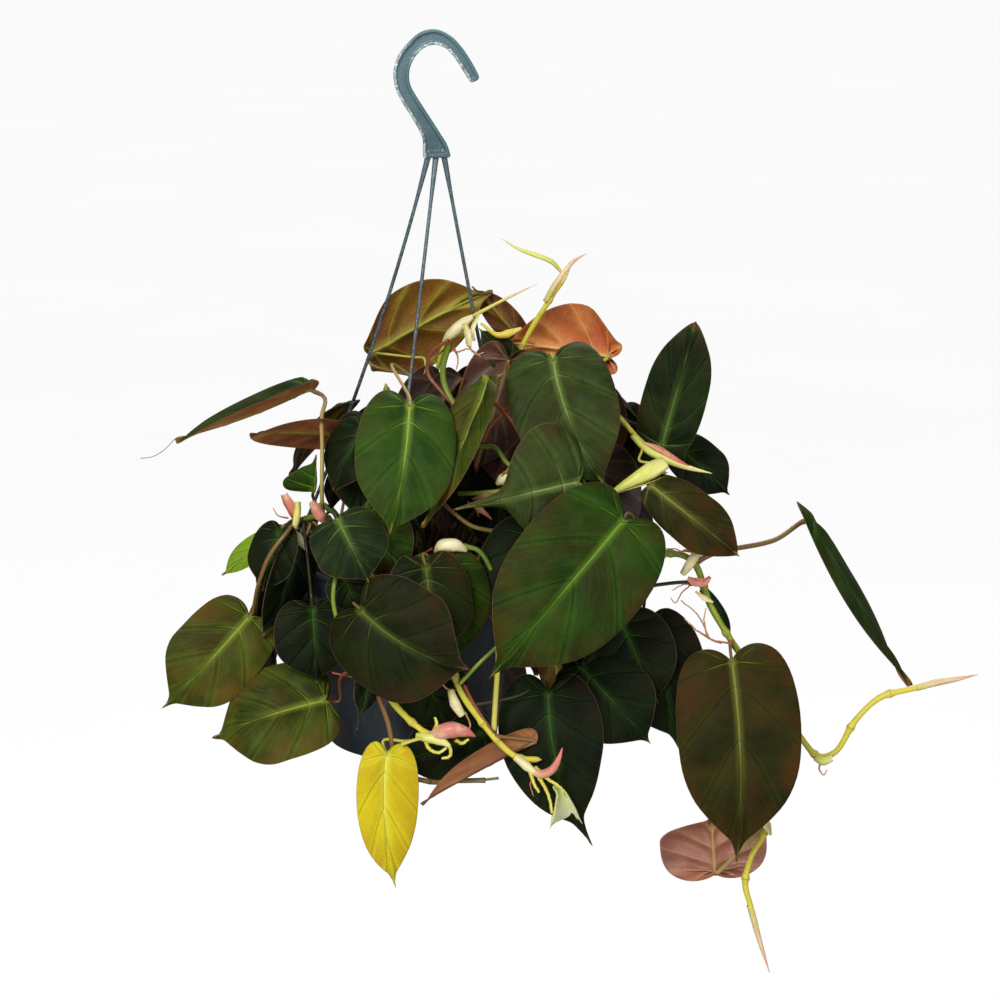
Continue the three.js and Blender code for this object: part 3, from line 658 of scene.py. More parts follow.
# Millimetres to the nearest joint, marked where a vine has none
NO_JOINT = 9
STEMS = {
    "stem_left": [(-50, -8, -345), (-56, -20, -304), (-70, -34, -282), (-88, -42, -286),
                  (-95, -40, -306), (-93, -36, -335)],
    "stem_front_left": [(-42, -35, -345), (-40, -58, -304), (-38, -79, -304), (-37, -88, -330),
                        (-36, -90, -358), (-30, -93, -374), (-15, -95, -392), (-2, -95, -401),
                        (12, -94, -400)],
    "stem_front": [(0, -35, -345), (2, -58, -303), (5, -79, -303), (8, -88, -330), (10, -92, -352),
                   (14, -95, -371), (26, -96, -390), (40, -95, -408), (50, -94, -416),
                   (64, -92, -418)],
    "stem_right": [(18, -22, -345), (30, -38, -303), (56, -50, -288), (95, -52, -292),
                   (130, -48, -300), (155, -45, -306), (168, -44, -336), (181, -44, -358),
                   (203, -42, -390), (224, -42, -419), (238, -40, -435), (248, -40, -432),
                   (260, -40, -411), (275, -40, -396), (292, -40, -391), (329, -38, -383)],
    "stem_low_right": [(10, 10, -345), (30, 20, -298), (62, 22, -298), (92, 8, -330),
                       (122, -5, -375), (158, -16, -425), (190, -30, -466), (206, -38, -481),
                       (197, -40, -503), (194, -40, -520), (198, -40, -536), (209, -40, -573)],
    "stem_top": [(-12, 12, -345), (-10, 12, -290), (-4, 12, -235), (2, 11, -190), (10, 10, -174),
                 (32, 10, -160), (62, 10, -145)],
    "stem_top_mid": [(8, 20, -345), (20, 12, -280), (41, 10, -222), (54, 22, -184), (69, 21, -158),
                     (82, 20, -138)],
    "stem_top_right": [(28, -4, -345), (40, -10, -290), (66, -18, -240), (94, -26, -216),
                       (110, -30, -220), (122, -30, -233), (138, -31, -246), (161, -31, -255)],
    "stem_back": [(-30, 34, -345), (-34, 58, -304), (-40, 79, -304), (-44, 88, -330),
                  (-48, 92, -365), (-44, 92, -400), (-36, 92, -440)],
}
# Vines at the back and sides that the front view hides
HIDDEN_VINES = {
    "vine_back_left": [(-55, 20, -345), (-66, 44, -302), (-80, 62, -300), (-94, 70, -326),
                       (-100, 74, -360), (-98, 78, -396)],
    "vine_back_right": [(12, 36, -345), (20, 60, -300), (30, 82, -298), (40, 94, -324),
                        (46, 98, -360), (52, 98, -398), (54, 96, -430)],
    "vine_side_right": [(30, 12, -345), (48, 26, -300), (68, 40, -296), (84, 52, -318),
                        (94, 58, -350), (98, 62, -384)],
    "vine_crown": [(-20, 4, -345), (-24, 18, -290), (-30, 34, -240), (-34, 44, -214)],
}
# Millimetres of pointed tip on each vine; the others end blunt behind a leaf
SPEARS = {"stem_top": 44, "stem_top_mid": 10, "stem_right": 30, "stem_low_right": 44,
          "stem_top_right": 30}
BLUNT_TIP = 4
# Thickness against the common one
SLIM_VINES = {"stem_top": 0.66, "stem_top_mid": 0.85, "stem_top_right": 0.75}


def stem_skin(name, root, shoot, spear, ring):
    """Smooth skin that yellows towards the growing tip, with a dry ring at each joint."""
    skin = Finish(name, root, 0.4)
    length, girth, share = skin.marks("place")
    joint, spear_share, _ = skin.marks("ribs")
    streaks = skin.streaks(length * 0.06, girth * 0.7, 0.0, 1.2, 2)
    skin.wash(share.fade(0.4, 0.9), shoot)
    skin.wash(streaks.fade(0.35, 0.7) * 0.4, shoot)
    skin.wash(skin.grain(16).fade(0.54, 0.74) * 0.4, (120, 84, 44))
    skin.wash(spear_share * 0.85, spear)
    skin.wash(joint.fade(1.0, 0.3) * 0.7, ring)
    skin.relief(streaks, 0.3, 0.2)
    skin.set("Specular IOR Level", 0.35)
    return skin.done()


def bump(distance, width):
    """1 on a line, faded to nothing at about twice the width from it."""
    return np.exp(-((distance / width) ** 2))


def vine(name, points):
    """A round vine with swollen joints, which ends in a pointed spear."""
    length = smooth_line(points, 40)[1]
    steps = int(length / STEM_STEP)
    line, length = smooth_line(points, steps)
    run = np.linspace(0, length, steps + 1)
    spear_share = np.clip(1 - (length - run) / SPEARS.get(name, BLUNT_TIP), 0, 1)
    joint = np.abs((run + JOINT_SPACING * 0.4) % JOINT_SPACING - JOINT_SPACING / 2)
    joint = joint + NO_JOINT * (spear_share > 0)
    radii = 0.9 + 0.4 * bump(joint, 2) + 0.05 * np.sin(run * 0.21)
    radii *= STEM_RADIUS * SLIM_VINES.get(name, 1)
    radii *= (1 - 0.92 * spear_share**1.6) * (1 - 0.12 * run / length)
    radii[0] *= 0.7
    marks = np.stack([joint, np.clip(spear_share * 2, 0, 1), 0 * run], axis=1)
    marks = [(NO_JOINT, 0, 0), *np.repeat(marks, STEM_SIDES, axis=0), (NO_JOINT, 1, 0)]
    shell = Shell()
    shell.take(*rod(line, radii, STEM_SIDES), ribs=np.array(marks))
    return shell


stem_green = stem_skin("stem_green", (78, 104, 24), (150, 164, 48), (214, 196, 118),
                       (150, 112, 66))
stem_young = stem_skin("stem_young", (98, 136, 36), (222, 208, 72), (228, 210, 128),
                       (176, 140, 84))
for name, points in STEMS.items():
    skin = stem_green if name in ("stem_left", "stem_back") else stem_young
    place_piece(vine(name, points).make(name + "_vine", [skin]), "stem_green", name)
for name, points in HIDDEN_VINES.items():
    place_piece(vine(name, points).make(name, [stem_green]), "stem_green")

# Scales and buds
# A papery scale wraps each young leaf before it opens. Old ones stay at the joints of the vines,
# cream to pink, and the newest close the growing tips like spearheads.
SCALE_THICKNESS = 0.3
SCALE_STEPS = 26
SCALE_CORNERS = 17
BEHIND = (0, 1, 0.2)


def rolled(shell, finish, line, radii, wraps=(250,), opens=(0, -1, 0.3)):
    """A scale or young leaf rolled round a line; wraps are its turns round it in degrees, and
    it is open towards opens."""
    line, length = smooth_line(line, SCALE_STEPS)
    shares = np.linspace(0, 1, SCALE_STEPS + 1)
    radii = np.interp(shares, np.linspace(0, 1, len(radii)), radii)
    wraps = np.interp(shares, np.linspace(0, 1, len(wraps)), wraps)
    tangents = np.gradient(line, axis=0)
    rows = []
    marks = []
    for middle, tangent, radius, wrap, share in zip(line, tangents, radii, wraps, shares):
        tangent = unit(tangent)
        back = -np.array(opens, float)
        back = unit(back - tangent * back.dot(tangent))
        turns = np.radians(np.linspace(-wrap / 2, wrap / 2, SCALE_CORNERS))
        uneven = radius * (1 + 0.05 * np.sin(3 * turns + share * 7))
        outer = np.outer(uneven * np.cos(turns), back)
        outer += np.outer(uneven * np.sin(turns), np.cross(tangent, back))
        inner = outer * max(0.1, 1 - SCALE_THICKNESS / radius)
        rows.append(middle + np.concatenate([outer, inner[::-1]]))
        marks += [(share * length, turn * radius, share) for turn in (*turns, *turns[::-1])]
    sides = 2 * SCALE_CORNERS
    faces = tube_faces(SCALE_STEPS + 1, sides)
    for first in (0, SCALE_STEPS * sides):
        faces += [(first + k, first + k + 1, first + sides - 2 - k, first + sides - 1 - k)
                  for k in range(SCALE_CORNERS - 1)]
    shell.take(np.concatenate(rows), faces, finish, np.array(marks))


def scale_skin(name, foot, middle, tip, blush):
    """Papery skin with fine lengthwise veins that changes colour from foot to tip."""
    skin = Finish(name, foot, 0.42)
    length, girth, share = skin.marks("place")
    streaks = skin.streaks(length * 0.08, girth, 0.0, 1.1, 2)
    skin.wash(share.fade(0.0, 0.5), middle)
    skin.wash(share.fade(0.5, 1.0), tip)
    skin.wash(skin.grain(7).fade(0.45, 0.65) * 0.5, blush)
    skin.wash(streaks.fade(0.4, 0.62) * 0.35, tip)
    skin.relief(streaks, 0.3, 0.25)
    return skin.done()


# The colour of each kind of scale at its foot, middle and tip, and its blush
SCALE_SKINS = [scale_skin("scale_" + name, *colours) for name, *colours in [
    ("pink", (226, 186, 146), (220, 138, 118), (208, 116, 100), (236, 202, 168)),
    ("cream", (214, 206, 124), (240, 232, 182), (232, 220, 168), (224, 200, 146)),
    ("tan", (130, 86, 52), (164, 116, 74), (104, 66, 40), (190, 150, 106)),
    ("fresh", (186, 198, 72), (222, 222, 106), (234, 224, 146), (196, 206, 80)),
    ("pale", (176, 194, 84), (224, 230, 164), (238, 234, 196), (212, 222, 144)),
    ("lemon", (196, 202, 76), (230, 230, 116), (240, 236, 160), (216, 218, 100)),
    ("rosy", (206, 204, 100), (234, 206, 158), (228, 164, 138), (238, 216, 174)),
    ("gold", (206, 196, 60), (226, 196, 48), (232, 214, 110), (196, 160, 40)),
]]
PINK, CREAM, TAN, FRESH, PALE, LEMON, ROSY, GOLD = range(len(SCALE_SKINS))
# The kind, the middle line, its radii and, where they aren't the common ones, its wraps and the
# way it opens
SCALES = {
    "scales_crown": [
        (CREAM, [(4, 3, -181), (7, 2, -177), (12, 2, -172), (17, 4, -168), (22, 5, -165)],
         [1.2, 3.0, 3.8, 3.0, 1.6], [340, 330, 320], BEHIND),
        (CREAM, [(17, 0, -168), (19, -3, -174), (20, -4, -182)], [1.2, 2.2, 1.6], [230]),
        (CREAM, [(26, 4, -163), (22, 0, -172), (23, -1, -179)], [0.8, 1.4, 1.0], [200]),
        (ROSY, [(67, 20, -158), (72, 19, -149), (79, 20, -139), (84, 20, -133), (92, 20, -128)],
         [1.7, 2.0, 1.8, 1.2, 0.2], [350], BEHIND),
        (LEMON, [(78, 20, -141), (71, 18, -133), (60, 16, -128), (50, 14, -124), (39, 12, -117)],
         [0.8, 1.6, 1.6, 0.9, 0.2], [350], BEHIND),
        (GOLD, [(27, 0, -168), (37, -2, -175), (44, -2, -174), (52, -1, -171)], [0.8, 1.3, 2.6, 0.8],
         [340, 300, 280], BEHIND),
        (TAN, [(22, -54, -266), (31, -59, -263), (40, -60, -268)], [0.6, 2.6, 0.9], [160]),
        (TAN, [(34, -56, -278), (27, -55, -272), (19, -52, -268)], [0.5, 2.0, 0.6], [150]),
        (TAN, [(44, -50, -262), (48, -54, -256), (46, -56, -248)], [0.5, 2.2, 0.6], [170]),
        (CREAM, [(37, -56, -256), (41, -60, -252), (47, -61, -250), (52, -60, -250)], [1.0, 3.6, 3.4, 0.9],
         [350], BEHIND),
        (CREAM, [(0, -72, -294), (5, -77, -289), (12, -78, -288), (19, -76, -292)], [0.9, 4.2, 4.0, 1.1],
         [350], BEHIND),
    ],
    "scales_left": [
        (PINK, [(-92, -44, -265), (-90, -46, -269), (-87, -46, -275), (-85, -45, -281)],
         [2.2, 3.1, 3.0, 1.8], [230]),
        (PINK, [(-76, -42, -271), (-73, -44, -274), (-70, -44, -279), (-68, -42, -283)],
         [1.6, 3.6, 3.6, 1.6], [330, 300], BEHIND),
        (CREAM, [(-101, -47, -282), (-94, -48, -286), (-86, -47, -288)], [0.4, 3.0, 2.2], [170]),
        (CREAM, [(-91, -48, -285), (-84, -50, -291), (-78, -48, -300)], [2.2, 2.9, 0.4], [170]),
        (LEMON, [(-84, -44, -270), (-84, -46, -277), (-86, -47, -286)], [2.0, 2.3, 1.9], [350], BEHIND),
    ],
    "scales_front": [
        (PINK, [(-3, -97, -402), (4, -99, -398), (12, -100, -396), (19, -99, -398), (24, -98, -401)],
         [2.2, 4.6, 5.0, 3.4, 0.5], [350], BEHIND),
        (LEMON, [(-11, -95, -402), (-4, -98, -402), (3, -99, -403), (9, -99, -407)], [2.2, 3.0, 3.2, 0.9],
         [350, 250], BEHIND),
        (CREAM, [(9, -97, -372), (12, -98, -380), (16, -97, -388)], [1.8, 3.2, 2.2], [330, 260], BEHIND),
        (PINK, [(57, -98, -423), (64, -101, -424), (70, -103, -420), (74, -103, -413), (76, -102, -407)],
         [1.6, 2.7, 2.5, 1.7, 0.4], [340], BEHIND),
        (CREAM, [(48, -95, -415), (55, -98, -420), (62, -100, -425)], [2.3, 2.9, 1.0], [350, 280], BEHIND),
        (PALE, [(71, -102, -431), (75, -102, -435), (77, -102, -444), (79, -101, -457)],
         [1.2, 4.2, 7.2, 10.0], [300, 230, 190]),
    ],
    "scales_right": [
        (LEMON, [(119, -32, -231), (128, -33, -240), (140, -34, -246), (153, -34, -251), (168, -33, -255)],
         [1.9, 2.5, 2.4, 1.5, 0.2], [350], BEHIND),
        (PINK, [(125, -34, -235), (135, -35, -239), (145, -36, -245), (154, -35, -250)],
         [0.4, 1.7, 1.4, 0.3], [190]),
        (FRESH, [(107, -56, -261), (114, -56, -257), (124, -54, -252), (133, -51, -248), (138, -49, -246)],
         [1.6, 3.4, 5.0, 6.0, 5.2], [358, 350, 335, 300], (0.3, -0.7, -0.6)),
        (CREAM, [(161, -48, -298), (157, -50, -303), (153, -50, -309), (150, -49, -314)],
         [1.8, 2.9, 2.9, 1.9], [350], BEHIND),
        (PINK, [(153, -48, -317), (158, -50, -319), (163, -50, -319), (167, -48, -316)],
         [1.3, 2.8, 2.6, 0.9], [250]),
        (CREAM, [(158, -49, -325), (163, -50, -329), (169, -49, -332)], [0.6, 1.7, 0.5], [200]),
        (PINK, [(148, -49, -300), (153, -50, -299), (159, -49, -301)], [0.4, 1.4, 0.4], [200]),
        (CREAM, [(201, -42, -474), (206, -44, -479), (209, -44, -486)], [1.4, 2.8, 0.7], [210]),
        (LEMON, [(235, -42, -435), (240, -43, -437), (246, -43, -435)], [1.9, 2.6, 1.9], [350], BEHIND),
        (ROSY, [(197, -40, -535), (200, -40, -545), (205, -40, -562), (211, -40, -581)],
         [1.9, 1.8, 1.3, 0.2], [350], BEHIND),
        (ROSY, [(297, -40, -390), (309, -39, -387), (321, -38, -385), (335, -38, -382)],
         [2.0, 2.2, 1.5, 0.2], [350], BEHIND),
    ],
}
for name, scales in SCALES.items():
    shell = Shell()
    for scale in scales:
        rolled(shell, *scale)
    place_piece(shell.make(name, SCALE_SKINS), "stem_green")

# Roots in the air
# Thin tan, rosy and yellow roots that grow out of the joints of the vines and grope about. None
# of them has found soil.
ROOT_STEPS = 26
ROOT_SIDES = 8
ROOT_WAVER = 0.12


def root_skin(name, old, young):
    """Rough skin that is younger and paler towards the tip."""
    skin = Finish(name, old, 0.6)
    skin.wash(skin.marks("place")[2].fade(0.1, 0.9), young)
    skin.wash(skin.grain(1.5, detail=4).fade(0.45, 0.65) * 0.5, old)
    skin.relief(skin.grain(0.6), 0.2, 0.6)
    return skin.done()


# Radius at the joint and at the tip, old and young colour, and the root's points
ROOTS = {
    "tan": (0.7, 0.35, (168, 108, 66), (214, 168, 118), [
        [(6, 1, -181), (12, -4, -185), (20, -6, -183), (27, -6, -188)],
        [(8, 1, -180), (2, -4, -186), (-5, -6, -191), (-8, -6, -199)],
        [(18, 1, -180), (24, -2, -187), (29, -2, -186)],
        [(10, 2, -182), (13, -2, -190), (12, -5, -196)],
        [(38, -60, -254), (43, -64, -246), (50, -65, -248), (52, -64, -255), (46, -62, -262),
         (40, -58, -261)],
        [(40, -59, -251), (45, -64, -244), (52, -65, -247), (54, -64, -256), (45, -60, -264)],
        [(12, -96, -373), (7, -98, -371), (5, -99, -367), (9, -99, -363), (13, -98, -365), (13, -96, -370)],
        [(-86, -43, -291), (-90, -45, -296), (-87, -46, -300), (-83, -45, -298)],
        [(18, -97, -386), (21, -98, -394), (19, -98, -399)],
        [(240, -41, -436), (238, -43, -442), (241, -43, -446), (243, -42, -443)],
        [(179, -56, -356), (167, -56, -353), (163, -55, -345), (158, -54, -337), (149, -52, -330)],
        [(167, -56, -353), (160, -55, -349), (151, -53, -341)],
        [(174, -56, -356), (166, -57, -352), (163, -56, -341), (164, -55, -334)],
        [(30, -44, -264), (24, -40, -272), (26, -38, -281)],
        [(-2, -64, -294), (-8, -58, -300), (-6, -52, -308)],
    ]),
    "rosy": (0.55, 0.25, (176, 84, 60), (222, 144, 112), [
        [(155, -46, -305), (148, -48, -301), (141, -47, -303), (136, -46, -307)],
        [(153, -46, -304), (146, -47, -299), (139, -46, -299)],
        [(158, -46, -320), (150, -48, -326), (146, -47, -333), (143, -46, -330)],
        [(157, -46, -322), (151, -48, -321), (144, -47, -325)],
        [(-62, -80, -367), (-52, -84, -368), (-41, -88, -370)],
        [(60, -98, -424), (57, -101, -430), (59, -101, -438)],
        [(-90, -41, -281), (-96, -43, -279), (-99, -43, -274)],
    ]),
    "yellow": (1.3, 0.8, (206, 192, 60), (232, 220, 104), [
        [(-6, -97, -401), (-4, -99, -408), (2, -99, -411), (7, -98, -408)],
        [(2, -97, -403), (8, -99, -406), (9, -99, -413), (4, -98, -415)],
        [(-1, -96, -399), (1, -98, -393), (0, -98, -389)],
        [(12, -98, -403), (16, -99, -405), (20, -98, -403)],
        [(58, -97, -421), (64, -102, -429), (68, -103, -437), (70, -103, -448)],
        [(60, -97, -421), (68, -102, -427), (75, -102, -432), (77, -102, -436)],
        [(56, -97, -421), (59, -102, -429), (62, -102, -435)],
    ]),
}
for name, (joint_radius, tip_radius, old, young, lines) in ROOTS.items():
    shell = Shell()
    radii = np.linspace(joint_radius, tip_radius, ROOT_STEPS + 1)
    for points in lines:
        line = smooth_line(points, ROOT_STEPS)[0]
        line[1:-1] += rng.normal(0, ROOT_WAVER, (ROOT_STEPS - 1, 3))
        shell.take(*rod(line, radii, ROOT_SIDES))
    place_piece(shell.make("roots_" + name, [root_skin("root_" + name, old, young)]), "stem_green")

# Leaf blades and stalks
# Each leaf is a thin heart-shaped blade on a round stalk. The upper side is velvet with sunken
# pale veins, the lower side is smooth and coppery, and a fine tan line runs round the margin.
ROWS = 49
ROWS_PER_VEIN = 7
FIRST_VEIN_ROW = 4
REACHES = np.array([0, 0.03, 0.08, 0.15, 0.25, 0.36, 0.48, 0.6, 0.72, 0.83, 0.92, 0.97, 1])
BLADE_HALF = 0.22
MARGIN_HALF = 0.09
RIB_HEIGHT = 0.85
VEIN_HEIGHT = 0.25
STALK_RADIUS = 1.1
STALK_STEPS = 34
STALK_SIDES = 10
STALK_BEHIND = 7
STALK_BELOW = 9
UNDER_BLADE = 1.2
CELLS_PER_METRE = 420
# Half the margin, from the joint round the lobe to the tip: share along the midrib, and share
# of the half width
HEART = [(0, 0), (-0.045, 0.05), (-0.1, 0.18), (-0.13, 0.36), (-0.115, 0.56), (-0.04, 0.76),
         (0.08, 0.92), (0.24, 1), (0.41, 0.985), (0.56, 0.89), (0.69, 0.72), (0.79, 0.5),
         (0.865, 0.28), (0.91, 0.13), (0.945, 0.06), (0.975, 0.025), (1, 0)]
# The part of those points that lies on the lobe, and the thin tip's share of the midrib
LOBE_SHARE = 0.44
PLAIN_DRIP = 0.1
# How a common blade is formed: depth of the notch, roundness, share of the drip tip, uneven
# halves, millimetres of waves and of hooked tip, swelling between the veins, rolled margin, bow
# of the midrib, thickness of the stalk, how far it swings out behind the blade, and slim lobes
FORM = {"lobes": 1.0, "full": 0.0, "drip": 0.1, "lean": 0, "wave": 1.1, "hook": 0, "quilt": 0.05,
        "curl": 0.12, "sway": 0, "girth": 1, "reach": 1, "slim": 0}


def heart_edge(share, form):
    """The margin of half a blade at shares of its length: how far it lies along the midrib, and
    its share of the half width."""
    points = np.array(HEART, float)
    along = points[:, 0]
    body = 1 - PLAIN_DRIP
    drip = form["drip"]
    points[:, 1] *= 1 + 0.2 * form["full"] * bump(along - 0.66, 0.2)
    points[:, 1] *= 1 - form["slim"] * bump(along + 0.05, 0.2)
    points[:, 0] = np.where(along < 0, along * form["lobes"], np.where(
        along < body, along * (1 - drip) / body, 1 - drip + (along - body) / PLAIN_DRIP * drip))
    ends = np.concatenate([2 * points[:1] - points[1:2], points, 2 * points[-1:] - points[-2:-1]])
    place = np.clip(share, 0, 1) * (len(points) - 1)
    piece = np.minimum(place.astype(int), len(points) - 2)
    a, b, c, d = (ends[piece + k] for k in range(4))
    return eased_between(b, c, (c - a) / 2, (d - b) / 2, (place - piece)[:, None])


def blade_grid():
    """The rows and reaches of a blade's points, and its faces and margin by point number.
    Rows follow the side veins; the lobes' rows all start at the joint."""
    numbers = {}
    grid = []
    faces = []
    margin = []

    def number(side, row, band):
        """The number of a point; those that fall together share one."""
        key = (side if band else 0, row, band)
        if row == 0 or (band == 0 and row / ROWS <= LOBE_SHARE):
            key = "joint"
        if row == ROWS:
            key = "tip"
        if key not in numbers:
            numbers[key] = len(numbers)
            reach = 0 if key in ("joint", "tip") else REACHES[band]
            grid.append((0 if key == "joint" else row / ROWS, reach, side))
        return numbers[key]

    last = len(REACHES) - 1
    for side in (-1, 1):
        for row in range(ROWS):
            for band in range(last):
                corners = [number(side, row, band), number(side, row, band + 1),
                           number(side, row + 1, band + 1), number(side, row + 1, band)]
                corners = list(dict.fromkeys(corners))
                if len(corners) > 2:
                    faces.append(tuple(corners[::side]))
            margin.append((number(side, row, last), number(side, row + 1, last))[::side])
    return np.array(grid, float), faces, margin


GRID, GRID_FACES, GRID_MARGIN = blade_grid()
GRID_CORNERS = np.array([face[:3] for face in GRID_FACES])


def blade_axes(base, tip, faces):
    """The joint's place, the ways along, across and out of a blade, and its length."""
    base, tip, faces = (np.array(v, float) for v in (base, tip, faces))
    along = unit(tip - base)
    out = unit(faces - along * faces.dot(along))
    return base, along, np.cross(along, out), out, np.linalg.norm(tip - base)


def formed(axes, bend, share, side_step, lift):
    """Bends a flat blade: share along the midrib, millimetres to the side, and lift above it."""
    base, along, across, out, chord = axes
    bend = math.radians(bend)
    arc = chord * (bend / 2) / math.sin(bend / 2)
    turn = bend * (share - 0.5)
    forward = chord / 2 + arc / bend * np.sin(turn)
    rise = arc / bend * (np.cos(turn) - math.cos(bend / 2))
    normal = np.outer(np.cos(turn), out) + np.outer(np.sin(turn), along)
    return (base + np.outer(forward, along) + np.outer(rise, out) + np.outer(side_step, across)
            + normal * lift[:, None])


def bowed(share, sway, chord):
    """How far a midrib that bows by sway millimetres steps aside, and its slope there."""
    on_rib = np.clip(share, 0, 1)
    slope = 4 * sway * (1 - 2 * on_rib) / chord
    return 4 * sway * on_rib * (1 - on_rib) + slope * (share - on_rib) * chord, slope


def heart_blade(shell, axes, form):
    """The blade's two skins, and a function for the place under the midrib at a share of it."""
    chord = axes[4]
    half_width = form["width"] / 2
    row, reach, side = GRID.T
    sideways = half_width * (1 + side * form["lean"])

    def placed(row):
        """Margin and midrib of each row, and the reach's place on it, along and aside."""
        edge = heart_edge(row, form)
        rib = np.maximum(0, (row - LOBE_SHARE) / (1 - LOBE_SHARE))
        return edge, rib, rib + (edge[:, 0] - rib) * reach**1.25, edge[:, 1] * reach * sideways

    edge, rib, share, offset = placed(row)
    vein = np.round((row * ROWS - FIRST_VEIN_ROW) / ROWS_PER_VEIN)
    vein = np.clip(vein, 0, ROWS / ROWS_PER_VEIN - 1)
    vein_share, vein_offset = placed((vein * ROWS_PER_VEIN + FIRST_VEIN_ROW) / ROWS)[2:]
    vein_gap = np.hypot((share - vein_share) * chord, offset - vein_offset)
    rib_gap = np.hypot(offset, np.minimum(share, 0) * chord)
    edge_gap = (1 - reach) * np.hypot((edge[:, 0] - rib) * chord, edge[:, 1] * sideways)
    to_tip = 1 - np.clip(share, 0, 1)
    # The surface swells between sunken veins, and the margin rolls and waves
    beyond_vein = np.abs(np.sin(math.pi * (row * ROWS - FIRST_VEIN_ROW) / ROWS_PER_VEIN)) ** 1.3
    waves = np.sin(row * 9.5 + form["phase"] + side * 1.7) * np.sin(math.pi * np.clip(row, 0, 1))
    fold = math.radians(form["fold"])
    lift = offset * math.sin(fold) * (1 - 0.2 * reach)
    lift += form["quilt"] * half_width * beyond_vein * np.sin(math.pi * reach**0.8)
    lift -= form["curl"] * half_width * reach**2.6
    lift += form["wave"] * waves * reach**2
    lift -= 0.6 * bump(rib_gap, 1.8) * to_tip
    lift -= form["hook"] * np.clip((share - 0.78) / 0.22, 0, 1) ** 2
    aside = side * offset * math.cos(fold)
    bow, slope = bowed(share, form["sway"], chord)
    middle = formed(axes, form["bend"], share - slope * aside / chord, aside + bow, lift)
    a, b, c = (middle[GRID_CORNERS[:, k]] for k in range(3))
    normals = np.zeros_like(middle)
    for k in range(3):
        np.add.at(normals, GRID_CORNERS[:, k], np.cross(b - a, c - a))
    normals /= np.linalg.norm(normals, axis=1)[:, None] + 1e-9
    thick = BLADE_HALF + (MARGIN_HALF - BLADE_HALF) * reach**6
    ridge = RIB_HEIGHT * bump(rib_gap, 1.0) * (0.2 + 0.8 * to_tip)
    ridge += VEIN_HEIGHT * bump(vein_gap, 0.7) * (1 - reach)
    upper = middle + normals * thick[:, None]
    lower = middle - normals * (thick + ridge)[:, None]
    place = np.stack([share * chord, side * offset, edge_gap], axis=1)
    ribs = np.stack([vein_gap, rib_gap, share], axis=1)
    count = len(middle)
    faces = GRID_FACES + [tuple(corner + count for corner in face[::-1]) for face in GRID_FACES]
    faces += [(b, a, a + count, b + count) for a, b in GRID_MARGIN]
    finishes = [0] * len(GRID_FACES) + [1] * len(GRID_FACES) + [0] * len(GRID_MARGIN)
    shell.take(np.concatenate([upper, lower]), faces, finishes, np.tile(place, (2, 1)), np.tile(ribs, (2, 1)))

    def under(share):
        """The place under the midrib at this share of it."""
        bow = bowed(np.array([share]), form["sway"], chord)[0]
        return formed(axes, form["bend"], np.array([share]), bow, np.array([-UNDER_BLADE]))[0]

    return under


def leaf_stalk(shell, axes, start, via, under, form):
    """A stalk from a vine, or from the point start, that swings out to the joint under a blade
    and runs out along the midrib."""
    base, along, _, out, _ = axes
    if isinstance(start[0], str):
        vine_points = STEMS[start[0]]
        start = line_point(vine_points, start[1] / (len(vine_points) - 1))
    approach = base - (along * STALK_BEHIND + out * STALK_BELOW) * form["reach"]
    line, length = smooth_line([start, *via, approach, under(0.0)], STALK_STEPS)
    line = np.concatenate([line, [under(0.03), under(0.07), under(0.12)]])
    run = np.linspace(0, 1, len(line))
    radii = STALK_RADIUS * form["girth"] * (0.9 + 0.75 * bump(run * length, 5))
    radii *= 1 + 0.22 * bump(run - 0.9, 0.05)
    radii[0] *= 0.8
    radii[-3:] = (0.75, 0.5, 0.2)
    shell.take(*rod(line, radii, STALK_SIDES, 2))


